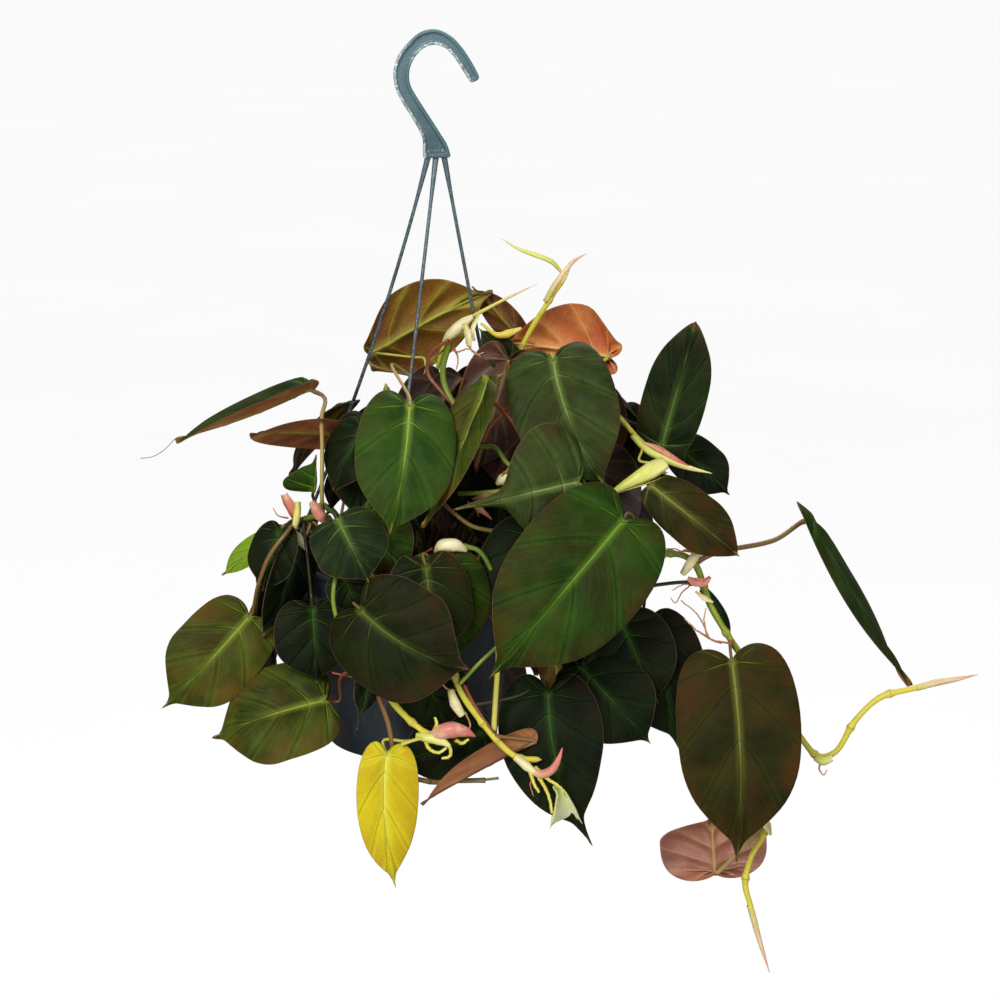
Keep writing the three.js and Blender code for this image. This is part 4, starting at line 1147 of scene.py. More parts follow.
def velvet(name, deep, bright, vein, rust, nap, blotched):
    """The upper side: soft nap over mottled green, with pale ribs and a tan margin."""
    skin = Finish(name, deep)
    along, aside, edge_gap = skin.marks("place")
    vein_gap, rib_gap, share = skin.marks("ribs")
    joint_gap = (along * along + aside * aside).root()
    near_joint = joint_gap.fade(26.0, 1.0)
    streaks = skin.streaks(vein_gap, rib_gap * 0.05, share * 6.0, 0.9, 4)
    clouds = skin.grain(26, detail=5)
    between = vein_gap.fade(2.2, 5.0) * rib_gap.fade(1.0, 6.0)
    # Mottled green; painted highlight beside the veins and painted shade in their grooves; deep between
    skin.wash(clouds.fade(0.3, 0.72), bright)
    skin.wash(vein_gap.fade(0.5, 1.8) * vein_gap.fade(4.2, 2.0) * 0.34, bright)
    skin.wash(vein_gap.fade(1.0, 0.2) * 0.4, deep)
    skin.wash(between * 0.35, deep)
    skin.wash(streaks.fade(0.42, 0.66) * 0.3, bright)
    skin.wash(skin.grain(3.2, detail=6).fade(0.5, 0.75) * 0.3, deep)
    # Rusty blotches, strongest near the margin
    rusty = skin.grain(30, detail=5).fade(0.36, 0.66) * blotched
    skin.wash(rusty * (edge_gap.fade(18.0, 0.0) * 0.45 + 0.35) * (between * 0.8 + 0.6), rust)
    # Pale ribs, brightest near the joint
    skin.wash(rib_gap.fade(4.2, 0.3) * share.fade(0.9, 0.15) * 0.4, vein)
    side_width = near_joint * 0.85 + 0.42
    skin.wash(vein_gap.fade(side_width, side_width * 0.25) * (near_joint * 0.55 + 0.05), vein)
    rib_width = (1 - share) * 0.95 + 0.32
    skin.wash(rib_gap.fade(rib_width, rib_width * 0.3) * (share.fade(0.85, 0.1) * 0.6 + 0.3), vein)
    skin.wash(joint_gap.fade(4.0, 0.8) * 0.8, vein)
    # Tan margin, dry drip tip and a few pale specks
    skin.wash(edge_gap.fade(0.5, 0.15) * 0.48, (150, 112, 84))
    skin.wash(share.fade(0.92, 0.99) * 0.7, (128, 74, 48))
    skin.wash(skin.grain(1.1, detail=1).fade(0.74, 0.78) * 0.1, (170, 180, 150))
    sunken = vein_gap.fade(1.4, 0.0) * -2.6 + rib_gap.fade(1.1, 0.1) * -1.2
    skin.relief(skin.grain(0.5, detail=2) * 0.35 + sunken + streaks * 1.6, 0.4, 0.6)
    skin.set("Roughness", clouds * 0.16 + 0.46)
    skin.set("Sheen Weight", 0.012)
    skin.set("Sheen Roughness", 0.4)
    skin.set("Sheen Tint", paint(*nap))
    skin.set("Specular IOR Level", 0.08)
    return skin.done()


def leaf_back(name, flesh, dusk, vein, gloss=0.25, bands=0.4):
    """The lower side: smooth, with raised pale ribs and a faint net between them."""
    skin = Finish(name, dusk)
    edge_gap = skin.marks("place")[2]
    vein_gap, rib_gap, share = skin.marks("ribs")
    clouds = skin.grain(24, detail=5)
    cell_gap = node(skin.tree, "ShaderNodeTexVoronoi", {"Vector": skin.place(), "Scale": CELLS_PER_METRE},
                    feature="DISTANCE_TO_EDGE")
    net = cell_gap.fade(0.12, 0.0)
    skin.wash(clouds.fade(0.3, 0.7), flesh)
    skin.wash(vein_gap.fade(1.2, 5.0) * bands, dusk)
    skin.wash(net * 0.12, vein)
    skin.wash(rib_gap.fade(6.0, 0.0) * 0.3, vein)
    skin.wash(vein_gap.fade(0.9, 0.2) * 0.42, vein)
    rib_width = (1 - share) * 1.1 + 0.35
    skin.wash(rib_gap.fade(rib_width, rib_width * 0.4) * 0.85, vein)
    skin.wash(edge_gap.fade(0.6, 0.15) * 0.5, (140, 96, 70))
    skin.relief(net * 0.5 + skin.grain(1.4), 0.22, 0.4)
    skin.set("Roughness", clouds * 0.2 + 0.32)
    skin.set("Specular IOR Level", gloss)
    return skin.done()


def stalk_skin(name, foot, top):
    """Smooth skin with fine lengthwise streaks that changes colour towards the blade."""
    skin = Finish(name, foot, 0.38)
    length, girth, share = skin.marks("place")
    streaks = skin.streaks(length * 0.1, girth, 0.0, 2.5, 3)
    skin.wash(share.fade(0.1, 0.95), top)
    skin.wash(skin.grain(7).fade(0.45, 0.7) * 0.4, foot)
    skin.wash(streaks * 0.3, top)
    skin.relief(streaks, 0.15, 0.4)
    return skin.done()


RUST = (98, 56, 20)
# Deep and bright green, veins, rust and nap, and how blotched with rust
UPPER = {kind: velvet("velvet_" + kind, *look) for kind, look in {
    "green": ((14, 33, 5), (47, 79, 16), (112, 150, 48), RUST, (120, 150, 90), 0.28),
    "fresh": ((22, 50, 10), (58, 88, 24), (148, 176, 70), RUST, (140, 180, 110), 0.12),
    # The dark kind is a deep green darkened further as painted shade, for leaves that lie under others
    "dark": ((6, 13, 5), (25, 39, 14), (58, 88, 32), (44, 32, 16), (90, 110, 90), 0.35),
    "soft": ((25, 38, 13), (66, 84, 36), (140, 162, 90), (104, 74, 38), (140, 150, 110), 0.25),
    "mossy": ((13, 24, 9), (44, 60, 24), (104, 132, 62), (70, 54, 28), (120, 140, 110), 0.25),
    # The shaded kind is the green velvet darkened as painted shade
    "shaded": ((12, 19, 4), (34, 43, 11), (92, 108, 42), (66, 38, 16), (110, 110, 70), 0.5),
    "dusky": ((24, 28, 5), (54, 54, 14), (128, 134, 58), (84, 46, 16), (120, 110, 70), 0.6),
    "olive": ((28, 43, 8), (82, 96, 25), (150, 166, 66), (112, 68, 26), (140, 140, 80), 0.48),
    "lime": ((92, 134, 20), (136, 172, 40), (180, 200, 90), RUST, (180, 200, 140), 0.12),
    "yellow": ((192, 168, 20), (216, 202, 34), (226, 224, 90), (186, 138, 40), (220, 215, 150), 0.35),
}.items()}
# Flesh, dusk and veins, and where they aren't the common ones, gloss and dark bands
LOWER = {kind: leaf_back("back_" + kind, *look) for kind, look in {
    "bronze": ((164, 146, 52), (122, 68, 24), (182, 184, 70), 0.25, 0.75),
    # The copper back is brightened beyond its own colour as painted light shining through the leaf
    "copper": ((240, 160, 90), (188, 92, 52), (240, 188, 112)),
    "umber": ((132, 78, 34), (72, 38, 20), (156, 124, 50)),
    # The chestnut back is brightened beyond its own colour as painted light it catches from below
    "chestnut": ((214, 130, 84), (158, 84, 52), (150, 146, 60)),
    "clay": ((166, 112, 70), (134, 84, 50), (104, 62, 42)),
    "rose": ((196, 134, 100), (140, 78, 62), (184, 146, 88), 0.9),
    "mauve": ((112, 74, 62), (72, 44, 38), (130, 108, 72)),
    # The shade back is a back darkened as painted shade
    "shade": ((74, 50, 44), (38, 26, 24), (96, 88, 52)),
    "lime": ((140, 170, 62), (112, 148, 46), (190, 206, 110)),
    "yellow": ((210, 200, 70), (186, 172, 52), (226, 220, 130)),
}.items()}
# Foot and top
STALKS = {kind: stalk_skin("stalk_" + kind, *look) for kind, look in {
    "red": ((140, 62, 34), (120, 84, 44)),
    "tan": ((132, 92, 50), (122, 106, 48)),
    "straw": ((172, 160, 84), (186, 152, 104)),
    "green": ((92, 118, 30), (150, 168, 54)),
    "yellow": ((176, 170, 62), (206, 196, 92)),
    "dark": ((52, 40, 24), (56, 62, 30)),
}.items()}
# Upper side, lower side, stalk and the record's slot of each kind of leaf
KINDS = {
    "green": ("green", "bronze", "tan", "leaf_green"),
    "fresh": ("fresh", "bronze", "green", "leaf_green"),
    "two_tone": ("green", "chestnut", "tan", "leaf_green"),
    "dark": ("dark", "shade", "dark", "leaf_dark"),
    "olive": ("olive", "bronze", "tan", "leaf_olive"),
    "shaded": ("shaded", "shade", "tan", "leaf_dark"),
    "soft": ("soft", "bronze", "green", "leaf_green"),
    "mossy": ("mossy", "bronze", "tan", "leaf_green"),
    "dusky": ("dusky", "bronze", "tan", "leaf_olive"),
    "copper": ("olive", "copper", "tan", "leaf_copper"),
    "chestnut": ("dusky", "chestnut", "tan", "leaf_copper"),
    "clay": ("dusky", "clay", "tan", "leaf_copper"),
    "umber": ("dusky", "umber", "tan", "leaf_copper"),
    "rose": ("dark", "rose", "red", "leaf_mauve"),
    "mauve": ("dark", "mauve", "red", "leaf_mauve"),
    "brown": ("dark", "shade", "red", "leaf_mauve"),
    "yellow": ("yellow", "yellow", "yellow", "leaf_yellow"),
    "lime": ("lime", "lime", "green", "leaf_lime"),
}


def leaf_into(shell, base, tip, faces, width, fold, bend, stalk, via=(), **extra):
    """Adds one leaf with its stalk. faces is the way the velvet side looks; fold lifts the two
    halves and bend droops the tip, in degrees; stalk is a vine and the place along its points,
    or the point where the stalk starts."""
    axes = blade_axes(base, tip, faces)
    form = FORM | {"width": width, "fold": fold, "bend": bend, "phase": rng.random() * 6.28} | extra
    leaf_stalk(shell, axes, stalk, via, heart_blade(shell, axes, form), form)


def leaf_skins(kind, stalk_kind=None):
    """The three finishes of a kind of leaf, and its slot."""
    upper, lower, own_stalk, slot = KINDS[kind]
    return [UPPER[upper], LOWER[lower], STALKS[stalk_kind or own_stalk]], slot


def grow_leaf(name, base, tip, faces, width, fold, bend, stalk, kind, via=(), stalk_kind=None,
              in_cad=True, slot=None, **extra):
    """One leaf as its own piece, which stands for the plain leaf of its name where CAD has one."""
    shell = Shell()
    leaf_into(shell, base, tip, faces, width, fold, bend, stalk, via, **extra)
    skins, own_slot = leaf_skins(kind, stalk_kind)
    piece = shell.make(name + ("_fine" if in_cad else ""), skins)
    place_piece(piece, slot or own_slot, *([name] if in_cad else []))


# Leaves that face the viewer
# The largest and best lit ones, which overlap like roof tiles over the pot. Most grow on short
# stalks from the vines that lean over the rim. Those underneath are painted dark as shade, the
# oldest is yellow.
grow_leaf("leaf_front_round", (-15, -62, -207), (-26, -98, -277), (0.05, -1, 0.1), 59, 6, 20,
          ("stem_top", 2.4), "fresh", via=[(-27, -14, -191)], full=0.4, lobes=1, quilt=0.07, sway=-2,
          stalk_kind="straw")
grow_leaf("leaf_centre_top", (71, -28, -186), (102, -66, -256), (0, -1, 0.25), 66, 14, 40,
          ("stem_top_right", 2), "soft", lobes=1.1, full=0.3, drip=0.1, quilt=0.09, curl=0.16,
          sway=5)
grow_leaf("leaf_centre_pointed", (85, -66, -252), (11, -96, -262), (-0.1, -1, 0.15), 78, 12, 22,
          ("stem_right", 3), "soft", lobes=0.9, full=-0.2, drip=0.42, quilt=0.06, curl=0.14)
grow_leaf("leaf_front_large", (111, -84, -272), (32, -114, -360), (0, -1, 0.25), 82, 8, 24,
          ("stem_right", 4), "green", lobes=0.85, full=0.2, drip=0.12, quilt=0.055, curl=0.13)
grow_leaf("leaf_centre_folded", (32, -48, -194), (-8, -80, -277), (-0.72, -0.7, 0), 42, 28, 10,
          ("stem_top", 2.2), "olive", lobes=0.3, quilt=0.12, sway=-5, slim=0.5, drip=0.14)
grow_leaf("leaf_rim_round", (-57, -84, -271), (-38, -98, -306), (0.1, -0.95, 0.3), 44, 6, 36,
          ("stem_front_left", 1.6), "mossy", full=0.8, lobes=0.7, stalk_kind="dark", slot="leaf_dark")
grow_leaf("leaf_rim_behind", (-44, -74, -272), (-16, -82, -306), (0.1, -1, 0.2), 44, 6, 20,
          ("stem_front_left", 1), "green")
grow_leaf("leaf_rim_olive", (-5, -88, -299), (1, -94, -355), (0.1, -1, 0.2), 50, 6, 20,
          ("stem_front", 2), "shaded", lobes=1.2, full=0.6, slot="leaf_olive")
grow_leaf("leaf_rim_dark", (4, -80, -300), (15, -85, -359), (0.2, -1, 0.1), 52, 6, 16,
          ("stem_front", 1), "green", lobes=1.2)
grow_leaf("leaf_front_dark", (-43, -100, -322), (21, -114, -354), (-0.1, -1, 0.15), 68, 5, 18,
          ("stem_front_left", 3), "shaded", sway=5, full=0.8)
grow_leaf("leaf_under_front", (-8, -84, -364), (8, -88, -402), (0.1, -1, 0.1), 46, 6, 12,
          ("stem_front", 3.6), "dark")
grow_leaf("leaf_yellow", (-29, -101, -412), (-24, -108, -494), (0.2, -1, 0.1), 38, 10, 14,
          ("stem_front_left", 7), "yellow", via=[(-16, -98, -404)], sway=4, lobes=0.7, lean=-0.1, drip=0.12)
grow_leaf("leaf_copper_folded", (59, -89, -407), (-9, -100, -443), (-0.1, 0.45, 0.9), 33, 62, 4,
          ("stem_front", 6.6), "clay", lobes=0.4, full=0.2, drip=0.06, wave=0.4, reach=0.1)
grow_leaf("leaf_bottom_dark", (68, -78, -381), (95, -94, -473), (0, -1, 0.15), 63, 8, 14,
          ("stem_front", 5.6), "dark", via=[(50, -84, -380)], sway=7, drip=0.2, full=-0.4, lobes=0.9)
grow_leaf("leaf_low_teal", (89, -60, -370), (131, -70, -416), (0.05, -1, 0.25), 54, 8, 30,
          ("stem_right", 3.5), "dark", via=[(88, -58, -330)], full=0.5)
grow_leaf("leaf_low_behind", (96, -40, -356), (122, -52, -416), (0.05, -1, 0.2), 52, 8, 16,
          ("stem_right", 2.6), "dark")
grow_leaf("leaf_low_right", (130, -46, -350), (149, -56, -424), (0.1, -1, 0.15), 58, 8, 20,
          ("stem_right", 4), "dark", via=[(128, -40, -330)], drip=0.14)
grow_leaf("leaf_low_middle", (114, -54, -345), (136, -60, -394), (0, -1, 0.2), 50, 8, 24,
          ("stem_right", 3.7), "dark")
grow_leaf("leaf_centre_teal", (56, -68, -284), (36, -82, -342), (-0.2, -1, 0.1), 48, 8, 12,
          ("stem_right", 2.2), "dark")

# Leaves on the left
# Nearly all grow from the short left vine, some on long bent stalks. Two stand out sideways and
# show their edges and coppery backs.
grow_leaf("leaf_left_high", (-78, -12, -206), (-157, -44, -231), (0, 0.16, 1), 54, 31, -14,
          ("stem_left", 2), "two_tone", via=[(-69, -44, -262), (-69, -36, -238), (-70, -22, -222)],
          lobes=0.4, drip=0.06, stalk_kind="straw", wave=0.5, girth=1.3)
grow_leaf("leaf_left_copper", (-62, -8, -236), (-114, -26, -232), (0, 0.6, 0.8), 48, 6, 10,
          ("stem_left", 1.4), "chestnut", lobes=0.6, drip=0.05, quilt=0.06)
grow_leaf("leaf_behind_round", (-44, -36, -226), (-62, -50, -262), (-0.6, -0.75, 0.1), 42, 8, 14,
          ("stem_left", 1), "dark")
grow_leaf("leaf_left_olive", (-116, -40, -344), (-169, -56, -398), (-0.1, -1, 0.3), 54, 8, 30,
          ("stem_left", 3), "olive", via=[(-88, -62, -283), (-99, -66, -297), (-107, -58, -317)],
          sway=-2, full=0.8, lobes=0.6, drip=0.12, girth=1.35, reach=0.3, quilt=0.06)
grow_leaf("leaf_left_low", (-68, -64, -390), (-137, -70, -412), (-0.15, -1, 0.75), 61, 8, 34,
          ("stem_front_left", 4), "olive", via=[(-55, -86, -366)], stalk_kind="red", full=0.9, lobes=0.7,
          drip=0.1, quilt=0.06)
grow_leaf("leaf_left_dark", (-75, -60, -333), (-73, -66, -379), (0.1, -1, 0.15), 48, 6, 20,
          ("stem_left", 2.6), "dark", via=[(-78, -54, -300)], full=0.4)
grow_leaf("leaf_left_lime", (-98, -18, -298), (-133, -30, -320), (-0.2, -0.6, 0.8), 23, 20, 16,
          ("stem_left", 4), "lime", lobes=0.4)
grow_leaf("leaf_left_narrow", (-94, -54, -286), (-105, -60, -322), (-0.5, -0.85, 0), 34, 10, 12,
          ("stem_left", 2.7), "dark", full=0.5)
grow_leaf("leaf_left_hanging", (-84, -48, -298), (-106, -50, -354), (0.75, -0.65, 0.1), 38, 18, 12,
          ("stem_left", 2.2), "dark", quilt=0.05)
grow_leaf("leaf_back_left", (-92, 34, -306), (-110, 44, -366), (-0.8, 0.55, 0.4), 54, 10, 24,
          ("stem_left", 4.5), "olive")

# Leaves on the right
# The long right vine carries the hanging bronze leaf and the one seen edge-on far out. Three
# grow from the upper right vine, and the low vine holds one that shows its mauve back.
grow_leaf("leaf_right_large", (180, -62, -366), (184, -82, -489), (0, -1, 0.2), 76, 10, 26,
          ("stem_right", 7), "dusky", sway=-3, lobes=0.6, full=0.3, drip=0.12, quilt=0.045)
grow_leaf("leaf_low_mauve", (178, -6, -526), (174, -14, -482), (0, 0.95, 0.3), 68, 8, 20,
          ("stem_low_right", 7), "rose", lobes=0.8, full=0.8, quilt=0.09, reach=0.15,
          stalk_kind="straw", girth=1.4)
grow_leaf("leaf_far_right", (235, 8, -296), (300, -10, -398), (0.9, -0.15, 0.42), 58, 9, -8,
          ("stem_right", 5.1), "two_tone", via=[(172, -36, -304), (210, -10, -303)],
          lobes=0.9, girth=1.6, wave=2.2, slim=0.3, reach=0.35)
grow_leaf("leaf_upright", (138, -22, -239), (156, -36, -161), (-0.1, -1, 0.1), 39, 10, 14,
          ("stem_top_right", 5.4), "mossy", lobes=0.8, full=0.4, drip=0.03, quilt=0.08)
grow_leaf("leaf_right_hooked", (151, 4, -247), (183, -4, -276), (0.1, -1, 0.3), 31, 6, 24,
          ("stem_top_right", 4), "dark", hook=4, drip=0.12, full=0.8, lobes=0.2)
grow_leaf("leaf_right_mid", (129, -54, -257), (183, -64, -299), (0, -1, 0.3), 33, 10, 24,
          ("stem_top_right", 6), "dusky", full=1, lobes=0.2, quilt=0.08, drip=0.05, slim=0.3)

# Leaves of the crown
# Behind the strands, on the vines that stand up from the peat. They show their bronze, coppery
# or mauve undersides.
grow_leaf("leaf_back_olive", (-40, 20, -190), (34, 48, -155), (-0.1, 0.9, 0.35), 62, 8, 16,
          ("stem_top", 2.6), "olive", lobes=0.6, full=0.1, drip=0.12, quilt=0.1, slim=0.45)
grow_leaf("leaf_top_copper", (107, 40, -196), (39, 24, -184), (0, 1, 0.1), 63, 8, 14,
          ("stem_top_mid", 2), "copper", via=[(84, 26, -206)], stalk_kind="yellow", lobes=0.8, full=-0.1,
          quilt=0.11, slim=0.5, reach=0.12)
grow_leaf("leaf_crown_mauve", (44, -6, -190), (24, -20, -258), (0.3, 0.9, 0.2), 50, 8, 12,
          ("stem_top_right", 1.2), "mauve", quilt=0.13, reach=0.2)
grow_leaf("leaf_crown_brown", (14, -4, -202), (-15, -22, -241), (-0.3, 0.85, 0.4), 31, 20, 12,
          ("stem_top", 1.2), "brown", quilt=0.05, lobes=0.3, reach=0.2)

# Leaves at the back
# The plant is as full behind as in front, so the pot shows only between the leaves. Most of
# these grow from the back vine.
grow_leaf("leaf_back_high", (-24, 58, -236), (-58, 84, -296), (-0.3, 0.9, 0.4), 58, 10, 26,
          ("stem_back", 0.8), "green")
grow_leaf("leaf_back_round", (-4, 84, -276), (-10, 108, -344), (0, 1, 0.35), 66, 8, 26,
          ("stem_back", 1.5), "green", full=0.4)
grow_leaf("leaf_back_right", (34, 74, -250), (66, 106, -318), (0.35, 1, 0.35), 70, 8, 26,
          ("stem_top_mid", 1), "green")
grow_leaf("leaf_back_side", (94, 44, -262), (136, 64, -330), (0.8, 0.55, 0.4), 62, 10, 24,
          ("stem_low_right", 2), "dark")
grow_leaf("leaf_back_low", (-54, 100, -352), (-82, 112, -420), (-0.25, 1, 0.2), 60, 8, 22,
          ("stem_back", 4), "dark")
grow_leaf("leaf_back_trailing", (-22, 102, -398), (10, 110, -462), (0.2, 1, 0.2), 56, 8, 20,
          ("stem_back", 5), "olive")

# Small leaves and loose stalks
# Half-grown, torn or folded leaves between the large ones, and stalks whose leaves hang hidden.
# The thinnest of these is the dry thread at the tip of the high leaf on the left.
LOOSE_STEPS = 30
grow_leaf("leaf_torn", (-75, -30, -267), (-73, -32, -243), (0.1, -1, 0.1), 21, 4, 8,
          (-70, -26, -284), "green", in_cad=False, drip=0.3, lobes=0.1, full=-1, lean=-0.85)
grow_leaf("leaf_behind_strand", (52, 47, -187), (21, 51, -153), (0.1, 0.9, 0.3), 21, 16, 14,
          ("stem_top_mid", 2.6), "umber", in_cad=False, quilt=0.08)
grow_leaf("leaf_small_fold", (47, 6, -197), (26, 4, -172), (0.2, -1, 0.1), 26, 40, 12,
          ("stem_top_mid", 1.9), "mossy", in_cad=False)
grow_leaf("leaf_small_right", (137, -8, -243), (128, -10, -225), (0, -1, 0.1), 19, 8, 14,
          ("stem_top_right", 3.4), "green", in_cad=False)
grow_leaf("leaf_fold_right", (166, -34, -330), (183, -34, -362), (0.95, -0.3, 0.1), 12, 30, 12,
          ("stem_right", 5.8), "brown", in_cad=False, reach=0.3)
grow_leaf("leaf_over_pot", (-38, -90, -360), (-47, -95, -399), (0.4, -0.9, 0.1), 19, 14, 12,
          ("stem_front_left", 3.4), "dark", in_cad=False, drip=0.3)
grow_leaf("leaf_pot_foot", (28, -66, -410), (-26, -76, -427), (0, -1, 0.2), 42, 8, 16,
          ("stem_front", 5), "dark", in_cad=False, full=0.3)
grow_leaf("leaf_small_teal", (-54, -80, -307), (-45, -84, -329), (0, -1, 0.1), 28, 8, 14,
          ("stem_front_left", 2), "dark", in_cad=False)
# Kind of stalk, and the radius and points of each
LOOSE_STALKS = {
    "stalks_lime": ("green", [
        (1.8, [(7, -2, -182), (4, -22, -194), (6, -30, -203), (14, -36, -216), (20, -38, -221),
         (12, -30, -250)]),
        (1.5, [(26, -44, -236), (36, -50, -235), (43, -56, -243), (53, -60, -249), (66, -54, -256)]),
        (1.4, [(14, -40, -266), (26, -54, -262), (39, -58, -260)]),
        (1.5, [(17, -76, -289), (26, -76, -292), (34, -72, -306), (36, -60, -326)]),
        (1.3, [(-56, -70, -300), (-59, -88, -307), (-60, -91, -318), (-57, -91, -335), (-54, -88, -350)]),
        (1.2, [(38, -92, -346), (27, -97, -355), (15, -97, -368)]),
    ]),
    "stalks_yellow": ("yellow", [
        (1.7, [(38, -84, -352), (37, -90, -368), (36, -91, -382), (35, -93, -399)]),
        (0.8, [(-41, 20, -190), (-26, 16, -191), (-14, 14, -192), (-8, 10, -192), (-8, 6, -205),
         (-8, 4, -230)]),
        (0.8, [(121, -31, -233), (125, -35, -239), (123, -40, -245), (130, -44, -246)]),
        (1.0, [(5, -97, -403), (-8, -99, -402), (-20, -101, -405)]),
    ]),
    "stalks_red": ("red", [
        (1.2, [(7, -4, -178), (-3, -14, -184), (-5, -26, -194), (3, -32, -204), (15, -36, -216)]),
        (1.2, [(54, -32, -202), (44, -42, -212), (33, -46, -223), (24, -38, -250)]),
        (1.3, [(32, -38, -207), (46, -48, -219), (57, -58, -238), (62, -54, -256)]),
        (1.1, [(17, -93, -370), (24, -96, -383), (33, -96, -397), (39, -94, -406)]),
    ]),
    "stalks_tan": ("tan", [
        (1.5, [(-34, -90, -378), (-28, -94, -395), (-25, -94, -412), (-20, -92, -427), (-3, -90, -433)]),
        (1.5, [(-20, -92, -427), (-3, -90, -433), (14, -88, -433), (30, -87, -433)]),
        (0.8, [(14, -88, -433), (26, -87, -433), (38, -86, -432)]),
        (1.3, [(2, -44, -268), (10, -60, -272), (22, -64, -280), (36, -62, -284)]),
        (1.1, [(-14, -50, -290), (-22, -60, -296), (-28, -70, -306)]),
        (0.9, [(122, -14, -238), (128, -17, -238), (134, -20, -238)]),
        (0.22, [(-157, -44, -231), (-164, -44, -238), (-171, -44, -242), (-178, -44, -243)]),
    ]),
    "stalks_dark": ("dark", [
        (1.2, [(132, -40, -324), (146, -44, -321), (158, -45, -320)]),
        (1.1, [(-4, -20, -318), (-10, -34, -290), (-26, -40, -262)]),
        (1.1, [(10, -18, -318), (16, -30, -290), (30, -36, -270)]),
        (1.2, [(40, -18, -318), (52, -34, -290), (60, -40, -266)]),
    ]),
}
for name, (kind, stalks) in LOOSE_STALKS.items():
    shell = Shell()
    flare = 1 + 0.15 * np.abs(np.linspace(-1, 1, LOOSE_STEPS + 1)) ** 8
    for radius, points in stalks:
        shell.take(*rod(smooth_line(points, LOOSE_STEPS)[0], radius * flare, STALK_SIDES))
    place_piece(shell.make(name, [STALKS[kind]]), "stem_green")

# Inner leaves
# Older leaves deep in the crown. They stand on stalks straight from the peat, close the view
# through the plant and get little light; the dark ones are coloured almost black as painted shade.
INNER_FOLD = 8
INNER_BEND = 18
LEAST_FULL = -0.1
MOST_FULL = 0.5
# Kind of leaf, and the joint, tip, way it faces and width of each
INNER = {
    "leaves_inner_dark": ("dark", [
        ((-42, -14, -228), (-50, -36, -284), (0, -1, 0.15), 44),
        ((-22, -12, -250), (-30, -32, -306), (0.1, -1, 0.2), 50),
        ((40, -8, -262), (38, -28, -312), (0, -1, 0.2), 44),
        ((72, -8, -246), (64, -26, -306), (-0.1, -1, 0.2), 50),
        ((112, 4, -226), (118, -10, -280), (0.2, -1, 0.2), 46),
        ((-42, 20, -246), (-47, 12, -294), (-0.3, -1, 0.2), 40),
        ((20, 0, -236), (14, -24, -292), (0, -1, 0.2), 52),
        ((92, 26, -240), (120, 34, -296), (0.8, 0.4, 0.4), 52),
        ((-40, 40, -250), (-74, 52, -300), (-0.8, 0.5, 0.4), 52),
    ]),
    "leaves_inner_brown": ("brown", [
        ((12, -8, -240), (2, -24, -296), (0, 0.95, 0.1), 46),
        ((100, -16, -250), (106, -36, -312), (0.1, 0.95, 0.1), 48),
        ((30, 4, -204), (22, -8, -262), (0, 0.95, 0.2), 48),
        ((2, 2, -206), (-22, -14, -262), (-0.1, 0.95, 0.1), 44),
    ]),
    "leaves_inner_mauve": ("mauve", [
        ((70, 10, -200), (66, -6, -258), (0, 0.95, 0.1), 50),
        ((46, -2, -214), (38, -24, -268), (0.2, 0.95, 0.1), 42),
        ((92, 0, -212), (100, -10, -262), (0.1, 0.95, 0.2), 46),
    ]),
    "leaves_inner_green": ("green", [
        ((10, 50, -214), (-6, 82, -262), (-0.1, 0.9, 0.5), 58),
        ((58, 48, -206), (80, 78, -256), (0.3, 0.9, 0.5), 58),
        ((-60, 28, -226), (-96, 34, -272), (-0.7, 0.3, 0.6), 50),
        ((106, 22, -214), (140, 30, -262), (0.7, 0.2, 0.6), 50),
    ]),
}
for name, (kind, leaves) in INNER.items():
    shell = Shell()
    for base, tip, faces, width in leaves:
        root = (POT_X + 0.4 * (base[0] - POT_X), 0.35 * base[1], SOIL_Z - 2)
        knee = (0.8 * base[0] + 2, 0.6 * base[1] + 6, (base[2] + SOIL_Z) / 2)
        leaf_into(shell, base, tip, faces, width, INNER_FOLD, INNER_BEND, root, via=[knee],
                  full=rng.uniform(LEAST_FULL, MOST_FULL), reach=1 if faces[1] < 0 else 0.2)
    skins, slot = leaf_skins(kind)
    place_piece(shell.make(name, skins), slot)

# Trailing leaves at the back and sides
# Each grows from the peat on a stalk of its own that climbs over the rim, and hangs down the
# pot's wall with its velvet side outwards.
TRAILING_FOLD = 8
TRAILING_BEND = 22
TRAILING_LENGTH = 1.15
TRAILING_SWING = 12
TRAILING_LEAN = (3, 9)
TRAILING_ROOT = 44
OVER_RIM = 14
OVER_REACH = 80
TRAILING_TILT = (0, 0, 0.3)
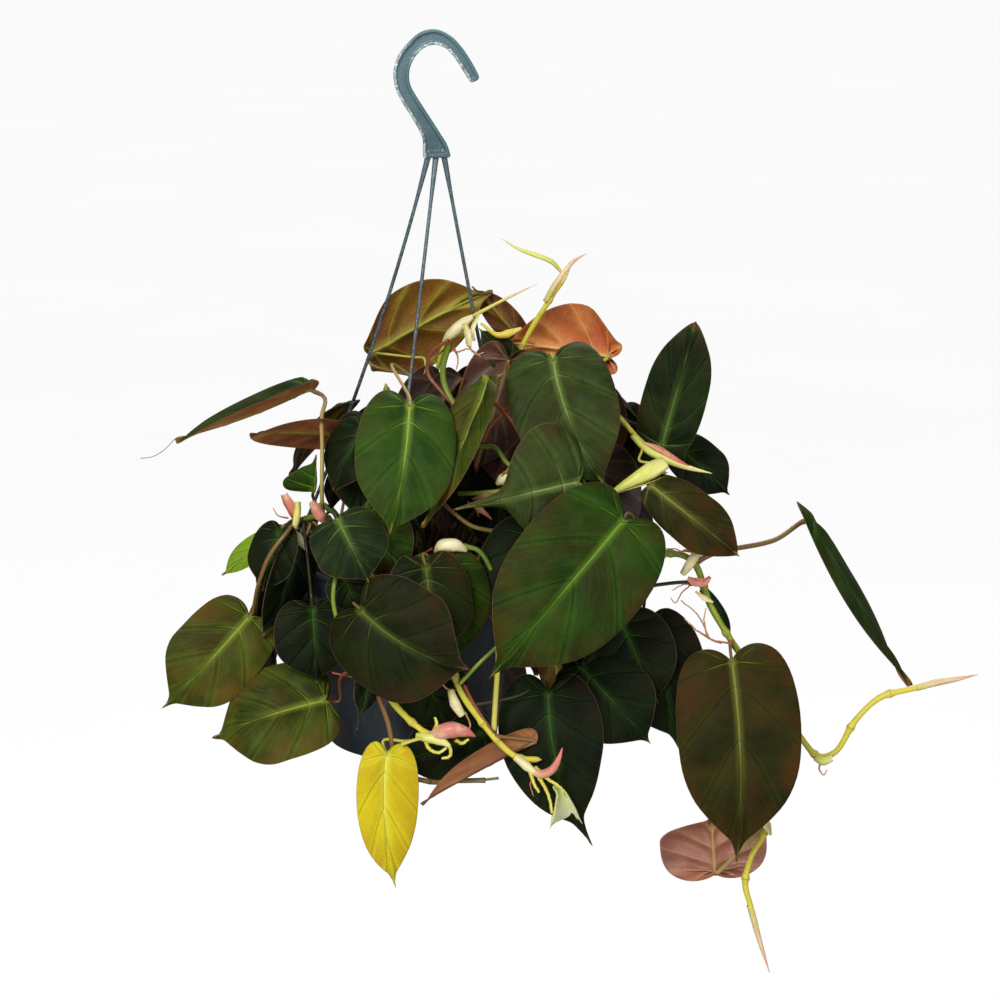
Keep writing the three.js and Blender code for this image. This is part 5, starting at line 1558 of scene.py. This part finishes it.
# Kind of leaf, and the turn round the pot, reach, height and width of each
TRAILING = {
    "leaves_trailing_green": ("green", [(20, 96, -316, 56), (62, 100, -322, 60), (112, 98, -318, 58),
                                        (150, 94, -322, 54), (88, 104, -372, 60), (34, 104, -380, 52)]),
    "leaves_trailing_dark": ("dark", [(-2, 98, -330, 52), (42, 94, -352, 54), (84, 90, -330, 56),
                                      (176, 88, -366, 44), (192, 83, -330, 44),
                                      (134, 96, -366, 52), (172, 92, -330, 48), (58, 98, -404, 50)]),
    "leaves_trailing_olive": ("olive", [(100, 96, -346, 54), (12, 102, -362, 50), (160, 100, -352, 50),
                                        (122, 100, -412, 48)]),
}
for name, (kind, leaves) in TRAILING.items():
    shell = Shell()
    for turn, reach, height, width in leaves:
        way = np.array([math.cos(math.radians(turn)), math.sin(math.radians(turn)), 0])
        aside = np.array([-way[1], way[0], 0]) * rng.uniform(-TRAILING_SWING, TRAILING_SWING)
        base = (POT_X, 0, height) + way * reach
        tip = base + way * rng.uniform(*TRAILING_LEAN) + aside + (0, 0, -width * TRAILING_LENGTH)
        root = (POT_X, 0, SOIL_Z - 3) + way * TRAILING_ROOT
        over = (POT_X, 0, RIM_Z + OVER_RIM) + way * OVER_REACH
        leaf_into(shell, base, tip, way + TRAILING_TILT, width, TRAILING_FOLD, TRAILING_BEND, root,
                  via=[over], full=rng.uniform(LEAST_FULL, MOST_FULL))
    skins, slot = leaf_skins(kind)
    place_piece(shell.make(name, skins), slot)

# Floor and studio light
# A plain pale floor far below the plant, a white room and four large soft lamps that face the
# middle of the plant.
FLOOR_Z = -0.95
FLOOR_SIDE = 120
ROOM_LIGHT = 0.19
PLANT_MIDDLE = Vector((0.05, 0, -0.3))
# Place and side in metres and power in watts of each lamp
LAMPS = {
    "key_light": ((-0.8, -1.7, 1.0), 1.0, 40),
    "fill_light": ((1.5, -1.3, 0.2), 1.4, 13),
    "back_light": ((0.3, 1.3, 1.0), 1.2, 16),
    "floor_bounce": ((-0.1, -0.9, -0.9), 1.0, 3.5),
}


def floor_paint():
    """White card that shines a little, so that it stays pale to its far edge."""
    skin = Finish("floor_paint", (246, 246, 246), 0.9)
    skin.wash(skin.grain(900), (250, 250, 250))
    skin.set("Emission Color", skin.colour)
    skin.set("Emission Strength", 1.0)
    skin.set("Specular IOR Level", 0.0)
    skin.colour = paint(90, 90, 90)
    return skin.done()


bpy.ops.mesh.primitive_plane_add(size=FLOOR_SIDE, location=(0, 0, FLOOR_Z))
floor = bpy.context.object
floor.name = "floor"
floor.data.materials.append(floor_paint())
floor.visible_diffuse = False
floor.visible_glossy = False
for name, (place, side, power) in LAMPS.items():
    lamp = bpy.data.lights.new(name, "AREA")
    lamp.energy = power
    lamp.size = side
    holder = bpy.data.objects.new(name, lamp)
    holder.location = place
    holder.rotation_euler = (PLANT_MIDDLE - Vector(place)).to_track_quat("-Z", "Y").to_euler()
    bpy.context.collection.objects.link(holder)
world = bpy.data.worlds.new("white_room")
world.use_nodes = True
background = world.node_tree.nodes["Background"]
background.inputs["Color"].default_value = (1, 1, 1, 1)
background.inputs["Strength"].default_value = ROOM_LIGHT
bpy.context.scene.world = world
bpy.context.scene.view_settings.view_transform = "Standard"
